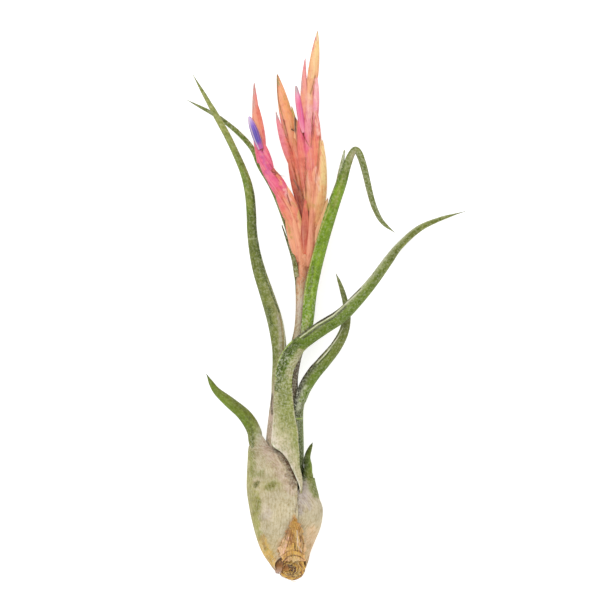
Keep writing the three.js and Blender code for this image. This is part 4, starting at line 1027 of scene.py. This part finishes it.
def make_piece(name, surface, material, node, scurf=None):
    """A Blender object from a painted surface, in the place of its CAD node."""
    mesh = bpy.data.meshes.new(name)
    mesh.from_pydata((surface.points * MM).tolist(), [], surface.faces)
    mesh.validate()
    add_values(mesh, surface, scurf)
    shell = bmesh.new()
    shell.from_mesh(mesh)
    bmesh.ops.recalc_face_normals(shell, faces=shell.faces)
    shell.to_mesh(mesh)
    shell.free()
    mesh.polygons.foreach_set("use_smooth", [True] * len(mesh.polygons))
    mesh.materials.append(material)
    piece = put_in_scene(name, mesh)
    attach(piece, "root")
    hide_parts(node)


def scurf_amount(surface, stops):
    """How thickly the silvery scales lie: by the place along the leaf, and more at its margins."""
    places, amounts = zip(*stops)
    margin = smooth((np.abs(2 * surface.values["v"] - 1) - 0.72) / 0.28)
    return np.clip(np.interp(surface.values["u"], places, amounts) + MARGIN_SCURF * margin, 0, 1)


def add_fold(surface, scurf):
    """Joins the margin that sticks up at the sharp bend of leaf_c."""
    fold = channel(thickened(FOLD_STATIONS), rings=40, across=16)
    fold.tint = along_colours(fold.values["u"], [(0, "moss"), (1, "silver")])
    return join([surface, fold]), np.concatenate([scurf, np.full(len(fold.points), 0.5)])


def make_leaves(skins):
    for number, (name, leaf) in enumerate(LEAVES.items()):
        seed = number * SEED_STEP
        stations = thickened(leaf["stations"], BLADE, leaf["sheath"])
        surface = channel(stations, leaf["rings"], leaf["across"], ribs=leaf["across"] // RIB_STEP,
                          rib_height=RIB_HEIGHT, wave=LEAF_WAVE, fray=leaf.get("fray", 0), seed=seed)
        paint_leaf(surface, leaf["outer"], leaf["inner"], MARKS[name], seed)
        scurf = scurf_amount(surface, leaf["scurf"])
        if name == "leaf_c":
            surface, scurf = add_fold(surface, scurf)
        make_piece(name + "_fine", surface, skins[leaf["slot"]], name, scurf)


def blade_stations(base, tip, width, facing, shape, spread, thick, bow=0.0, lean=0.0):
    """The stations of one bract or petal."""
    base, tip = np.array(base, float), np.array(tip, float)
    path = tip - base
    length = np.linalg.norm(path)
    forward = path / length
    up = unit(np.array([0, 0, 1]) - forward * forward[2])
    side = np.cross(forward, up)
    out = side * math.cos(math.radians(facing)) + up * math.sin(math.radians(facing))
    stations = []
    for i, share in enumerate(shape):
        t = i / (len(shape) - 1)
        middle = base + path * t + out * 4 * t * (1 - t) * bow * length + up * lean * (2 * t - 1)
        stations.append([*middle, width / 2 * share, facing - spread[i], facing + spread[i], thick])
    return stations


def specks(name):
    """Small blobs on a spike and, on the left one, the withered thread that hangs from its blob."""
    made = []
    for (x, y, z), size, tone in SPECKS[name]:
        route = [(x - size, y + size, z - 0.5), (x, y, z), (x + size, y - size * 0.6, z - 0.3)]
        made.append(fibre(route, size, tone))
    if name == "spike_left":
        made.append(fibre(THREAD_ROUTE, THREAD_RADIUS, "soot"))
    return made


def spike_level(spike, y):
    """The height of a spike's middle line over the surface."""
    low, high = spike["height"]
    first, last = spike["rachis"][0][1], spike["rachis"][-1][1]
    return low + (high - low) * (y - first) / (last - first) - SPIKE_SINK * max(0, SPIKE_FOOT - y)


def make_bract(spike, x0, y0, x1, y1, width, facing, colours):
    ends = [(x, y, spike_level(spike, y)) for x, y in ((x0, y0), (x1, y1))]
    stations = blade_stations(*ends, width, facing, BRACT_SHAPE, BRACT_SPREAD, BRACT_THICK,
                              BRACT_BOW, BRACT_LEAN)
    bract = channel(stations, rings=48, across=22, flatness=BRACT_FLATNESS, ribs=7, rib_height=RIB_HEIGHT,
                    keel=BRACT_KEEL)
    paint_bract(bract, *colours.split())
    return bract


def make_spikes(skin):
    for name, spike in SPIKES.items():
        stations = [[x, y, spike_level(spike, y), radius] for x, y, radius in spike["rachis"]]
        rachis = rod(stations, rings=40, sides=16)
        rachis.tint = np.tile(srgb("peach"), (len(rachis.points), 1))
        surface = join([rachis, *(make_bract(spike, *row) for row in spike["bracts"]), *specks(name)])
        paint_marks(surface, MARKS[name], seed=1.0)
        make_piece(name + "_fine", surface, skin, name)


def make_flowers(skin):
    for name, flower in FLOWERS.items():
        petals = []
        for facing in (90, 210, 330):
            stations = blade_stations(flower["base"], flower["tip"], 2 * flower["radius"], facing,
                                      PETAL_SHAPE, PETAL_SPREAD, PETAL_THICK)
            petal = channel(stations, rings=40, across=16)
            across = petal.values["v"]
            tint = along_colours(petal.values["u"], flower["stops"])
            tint = mix(tint, srgb(flower["stripe"]), 0.9 * bell(across, 0.8, 0.09))
            petal.tint = mix(tint, srgb("magenta"), 0.5 * bell(across, 0.12, 0.12))
            petals.append(petal)
        make_piece(name + "_fine", join(petals), skin, name)


# ---------------- stem, root scar and dead leaf base


def scar_place():
    """The middle, axes, outward direction and radius of the cut foot of the stem."""
    side, up = (axis[0] for axis in ring_axes(STEM_STATIONS, np.zeros(1)))
    outward = np.cross(side, up)
    *middle, reach = STEM_STATIONS[0]
    return np.array(middle), side, up, outward if outward[2] > 0 else -outward, reach


def scar_height(radius, turn):
    """Torn layers like thin shells round an eye off the middle, 0 in a crack to 1 on a crest."""
    across = radius * np.cos(turn) - SCAR_EYE[0]
    along = radius * np.sin(turn) - SCAR_EYE[1]
    radius, turn = np.hypot(across, along), np.arctan2(along, across)
    wander = 0.7 * polar_noise(radius, turn, 0.8, 3)
    layer = (radius / SCAR_LAYER + turn / (2 * np.pi) + wander) % 1
    rough = 0.25 * polar_noise(radius, turn, 1.7, 9)
    return np.clip(0.25 + 0.75 * layer * smooth((1 - layer) * 5) + rough, 0, 1)


def scar_face(middle, side, up, outward, reach):
    """The cut foot of the stem, where the roots were: torn brown layers round each other."""
    turn = np.linspace(0, 2 * np.pi, SCAR_SIDES, endpoint=False)
    share = np.concatenate([[1.0], np.linspace(1, 0.01, SCAR_RINGS)])[:, None]
    radius = share * reach * (1 + SCAR_RAGGED * polar_noise(np.ones(SCAR_SIDES), turn, 4, 1))
    height = scar_height(radius, np.broadcast_to(turn, radius.shape))
    rise = SCAR_DEPTH * (height * 0.8 - 0.3) * smooth((1 - share) * 8 + 0.3)
    rise[0] = -0.6
    points = around(middle[None], side[None], up[None], radius, turn) + outward * rise[..., None]
    values = at_points(radius.shape, u=0.0, v=turn / (2 * np.pi), outer=1.0, toward=1.0,
                       grain_x=radius, grain_y=turn * 3)
    surface = Surface(points, capped_tube(SCAR_RINGS, SCAR_SIDES), values)
    height = height.ravel()
    # The tones run from dark in the cracks to light on the crests: partly the torn layers' own colours, partly
    # painted shade and painted highlight.
    tint = srgb("deep_brown")
    for tone, low, span, strength in SCAR_TONES:
        tint = mix(tint, srgb(tone), smooth((height - low) / span) * strength)
    tint = mix(tint, srgb("gold"), smooth((share.repeat(SCAR_SIDES) - 0.8) / 0.2) * 0.7)
    # Painted shade in the deep hollow: soot where the relief is low.
    hollow_shade = stroke(photo_pixels(surface.points), 11, SCAR_HOLLOW_SHADE)
    surface.tint = mix(tint, srgb("soot"), hollow_shade * smooth((0.9 - height) / 0.4) * 0.95)
    return surface


def scar_fibres(middle, side, up, outward, reach):
    """Threads of old root and leaf that lie round the scar, on it and on its rim."""
    threads = []
    for _ in range(SCAR_THREADS):
        turn = RANDOM.uniform(0, 2 * math.pi)
        start = reach * RANDOM.uniform(0.3, 1.04)
        sweep = RANDOM.uniform(0.25, 0.7) * RANDOM.choice((-1, 1))
        drift = RANDOM.uniform(-0.3, 0.3)
        rise = RANDOM.uniform(0.1, 0.5)
        points = []
        for step, lift in enumerate((-0.1, rise, rise, rise * 0.7)):
            angle = turn + sweep * step / 3 * reach / start
            radius = start + drift * step
            sideways = side * radius * math.cos(angle) + up * radius * math.sin(angle)
            points.append(middle + sideways + outward * lift)
        tones = ("straw", "gold", "gold", "brown", "straw")
        threads.append(fibre(points, RANDOM.uniform(0.1, 0.2), RANDOM.choice(tones)))
    return threads


def torn_bases():
    """What is left of the lowest leaf bases: thin ragged shells between the foot and the leaves."""
    shells = []
    for number, (stations, low, high) in enumerate(TORN_BASES):
        shell = channel(thickened(stations, TORN_THICK), rings=40, across=70, ribs=12, rib_height=0.05,
                        wave=0.6, pitch=0.8, fray=0.9, seed=number * 3.0)
        shell.tint = along_colours(shell.values["u"], [(0, low), (0.4, high), (1, "umber")])
        shells.append(shell)
    return shells


def make_stalk():
    """The stem from its foot up to the spikes, with darker sides and its small bract."""
    stalk = rod(STEM_STATIONS[:-1] + [STALK_TOP], rings=220, sides=28)
    stalk.tint = along_colours(stalk.values["u"], STALK_STOPS)
    for middle, strength in ((0.42, 0.45), (0.08, 0.35)):
        stalk.tint = mix(stalk.tint, srgb("brown"), strength * bell(stalk.values["v"], middle, 0.05))
    bract = channel(thickened(STALK_BRACT_STATIONS, BRACT_THICK), rings=60, across=16)
    bract.tint = along_colours(bract.values["u"], [(0, "tan"), (0.2, "moss"), (1, "dark_green")])
    return join([stalk, bract])


def make_stem(skin, scar_skin):
    surface = make_stalk()
    scurf = 0.5 - 0.35 * smooth((surface.values["u"] - 0.86) / 0.06)
    make_piece("stem_fine", surface, skin, "stem", scurf)
    place = scar_place()
    surface = join([scar_face(*place), *scar_fibres(*place), *torn_bases()])
    make_piece("root_scar", surface, scar_skin, "stem")


def dry_fibres():
    """Loose threads along the dead leaf base, some of them past its torn foot."""
    threads = []
    for _ in range(DRY_THREADS):
        foot = RANDOM.uniform(-0.02, 0.6)
        lane = RANDOM.uniform(0.03, 0.97)
        reach = RANDOM.uniform(0.15, 0.4)
        u = np.clip(np.array([foot, foot + reach * 0.5, foot + reach]), 0, 0.98)
        v = lane + np.array([0, RANDOM.uniform(-0.05, 0.05), RANDOM.uniform(-0.1, 0.1)])
        lift = np.array([RANDOM.uniform(0, 0.3), 0.08, 0.0])
        row = sample(DRY_STATIONS, u)
        turn = np.radians(row[:, 4] + (row[:, 5] - row[:, 4]) * np.clip(v, 0, 1))
        axes = ring_axes(DRY_STATIONS, u, row[:, 3])
        points = around(row[:, :3], *axes, (row[:, 3] + lift)[:, None], turn[:, None])[:, 0]
        tones = ("straw", "gold", "brown", "deep_brown")
        threads.append(fibre(points, RANDOM.uniform(0.05, 0.1), RANDOM.choice(tones)))
    return threads


def make_dry_bract(skin):
    surface = channel(thickened(DRY_STATIONS, BRACT_THICK), rings=110, across=70, ribs=16, rib_height=0.09,
                      wave=1.3, pitch=0.9, fray=1.1, seed=4.0)
    paint_leaf(surface, DRY_STOPS, [(0, "brown"), (1, "brown")], MARKS["dry_bract"], seed=2.0)
    make_piece("dry_bract_fine", join([surface, *dry_fibres()]), skin, "dry_bract")


# ---------------- camera, lights and floor


def make_floor():
    g = Graph("pale_floor")
    g.set(Base_Color=(0.6, 0.6, 0.6, 1), Roughness=0.9)
    g.set(Emission_Color=(1, 1, 1, 1), Emission_Strength=FLOOR_GLOW)
    mesh = bpy.data.meshes.new("floor")
    corners = [(x * FLOOR_REACH, y * FLOOR_REACH, FLOOR_DROP) for x, y in ((-1, -1), (1, -1), (1, 1), (-1, 1))]
    mesh.from_pydata(corners, [], [[0, 1, 2, 3]])
    mesh.materials.append(g.material)
    put_in_scene("floor", mesh)


def make_light(name, place, size, power):
    data = bpy.data.lights.new(name, "AREA")
    data.shape = "DISK"
    data.size = size
    data.energy = power
    light = put_in_scene(name, data)
    light.location = place
    light.rotation_euler = (-Vector(place)).to_track_quat("-Z", "Y").to_euler()


def make_studio():
    make_floor()
    world = bpy.data.worlds.new("studio")
    world.use_nodes = True
    background = world.node_tree.nodes["Background"]
    background.inputs["Color"].default_value = (1, 1, 1, 1)
    background.inputs["Strength"].default_value = SKY_STRENGTH
    bpy.context.scene.world = world
    make_light("key", (-0.35, 0.45, 1.3), size=1.0, power=9)
    make_light("fill", (0.9, -0.2, 0.9), size=0.9, power=2)
    bpy.context.scene.view_settings.view_transform = "Standard"


def make_camera():
    """A camera straight above, whose picture covers what the photograph covers."""
    data = bpy.data.cameras.new("camera")
    frame_width = PHOTO_WIDTH * PHOTO_SCALE * MM
    data.sensor_width = 36
    data.lens = data.sensor_width * (CAMERA_HEIGHT - NECK_HEIGHT * MM) / frame_width
    data.clip_end = 20
    camera = put_in_scene("camera", data)
    half = PHOTO_WIDTH / 2
    x = (half - PHOTO_ORIGIN[0]) * PHOTO_SCALE * MM
    y = (PHOTO_ORIGIN[1] - half) * PHOTO_SCALE * MM
    camera.location = (x, y, CAMERA_HEIGHT)
    bpy.context.scene.camera = camera


# ---------------- the plant

make_leaves({
    "sheath": leaf_material("sheath_skin", roughness=0.75, frost=0.6, fleck_share=0.5,
                            shadow=(0.72, 0.68, 0.54, 1)),
    "leaf": leaf_material("leaf_skin", roughness=0.68, frost=0.4, fleck_share=0.8,
                          shadow=(0.63, 0.68, 0.48, 1)),
})
make_stem(leaf_material("stalk_skin", roughness=0.6, frost=0.5, fleck_share=0.8, shadow=(0.74, 0.62, 0.54, 1)),
          dry_material("scar_skin", depth=0.4))
make_dry_bract(dry_material("dry_skin", depth=0.8))
make_spikes(bract_material())
make_flowers(petal_material())
make_studio()
make_camera()
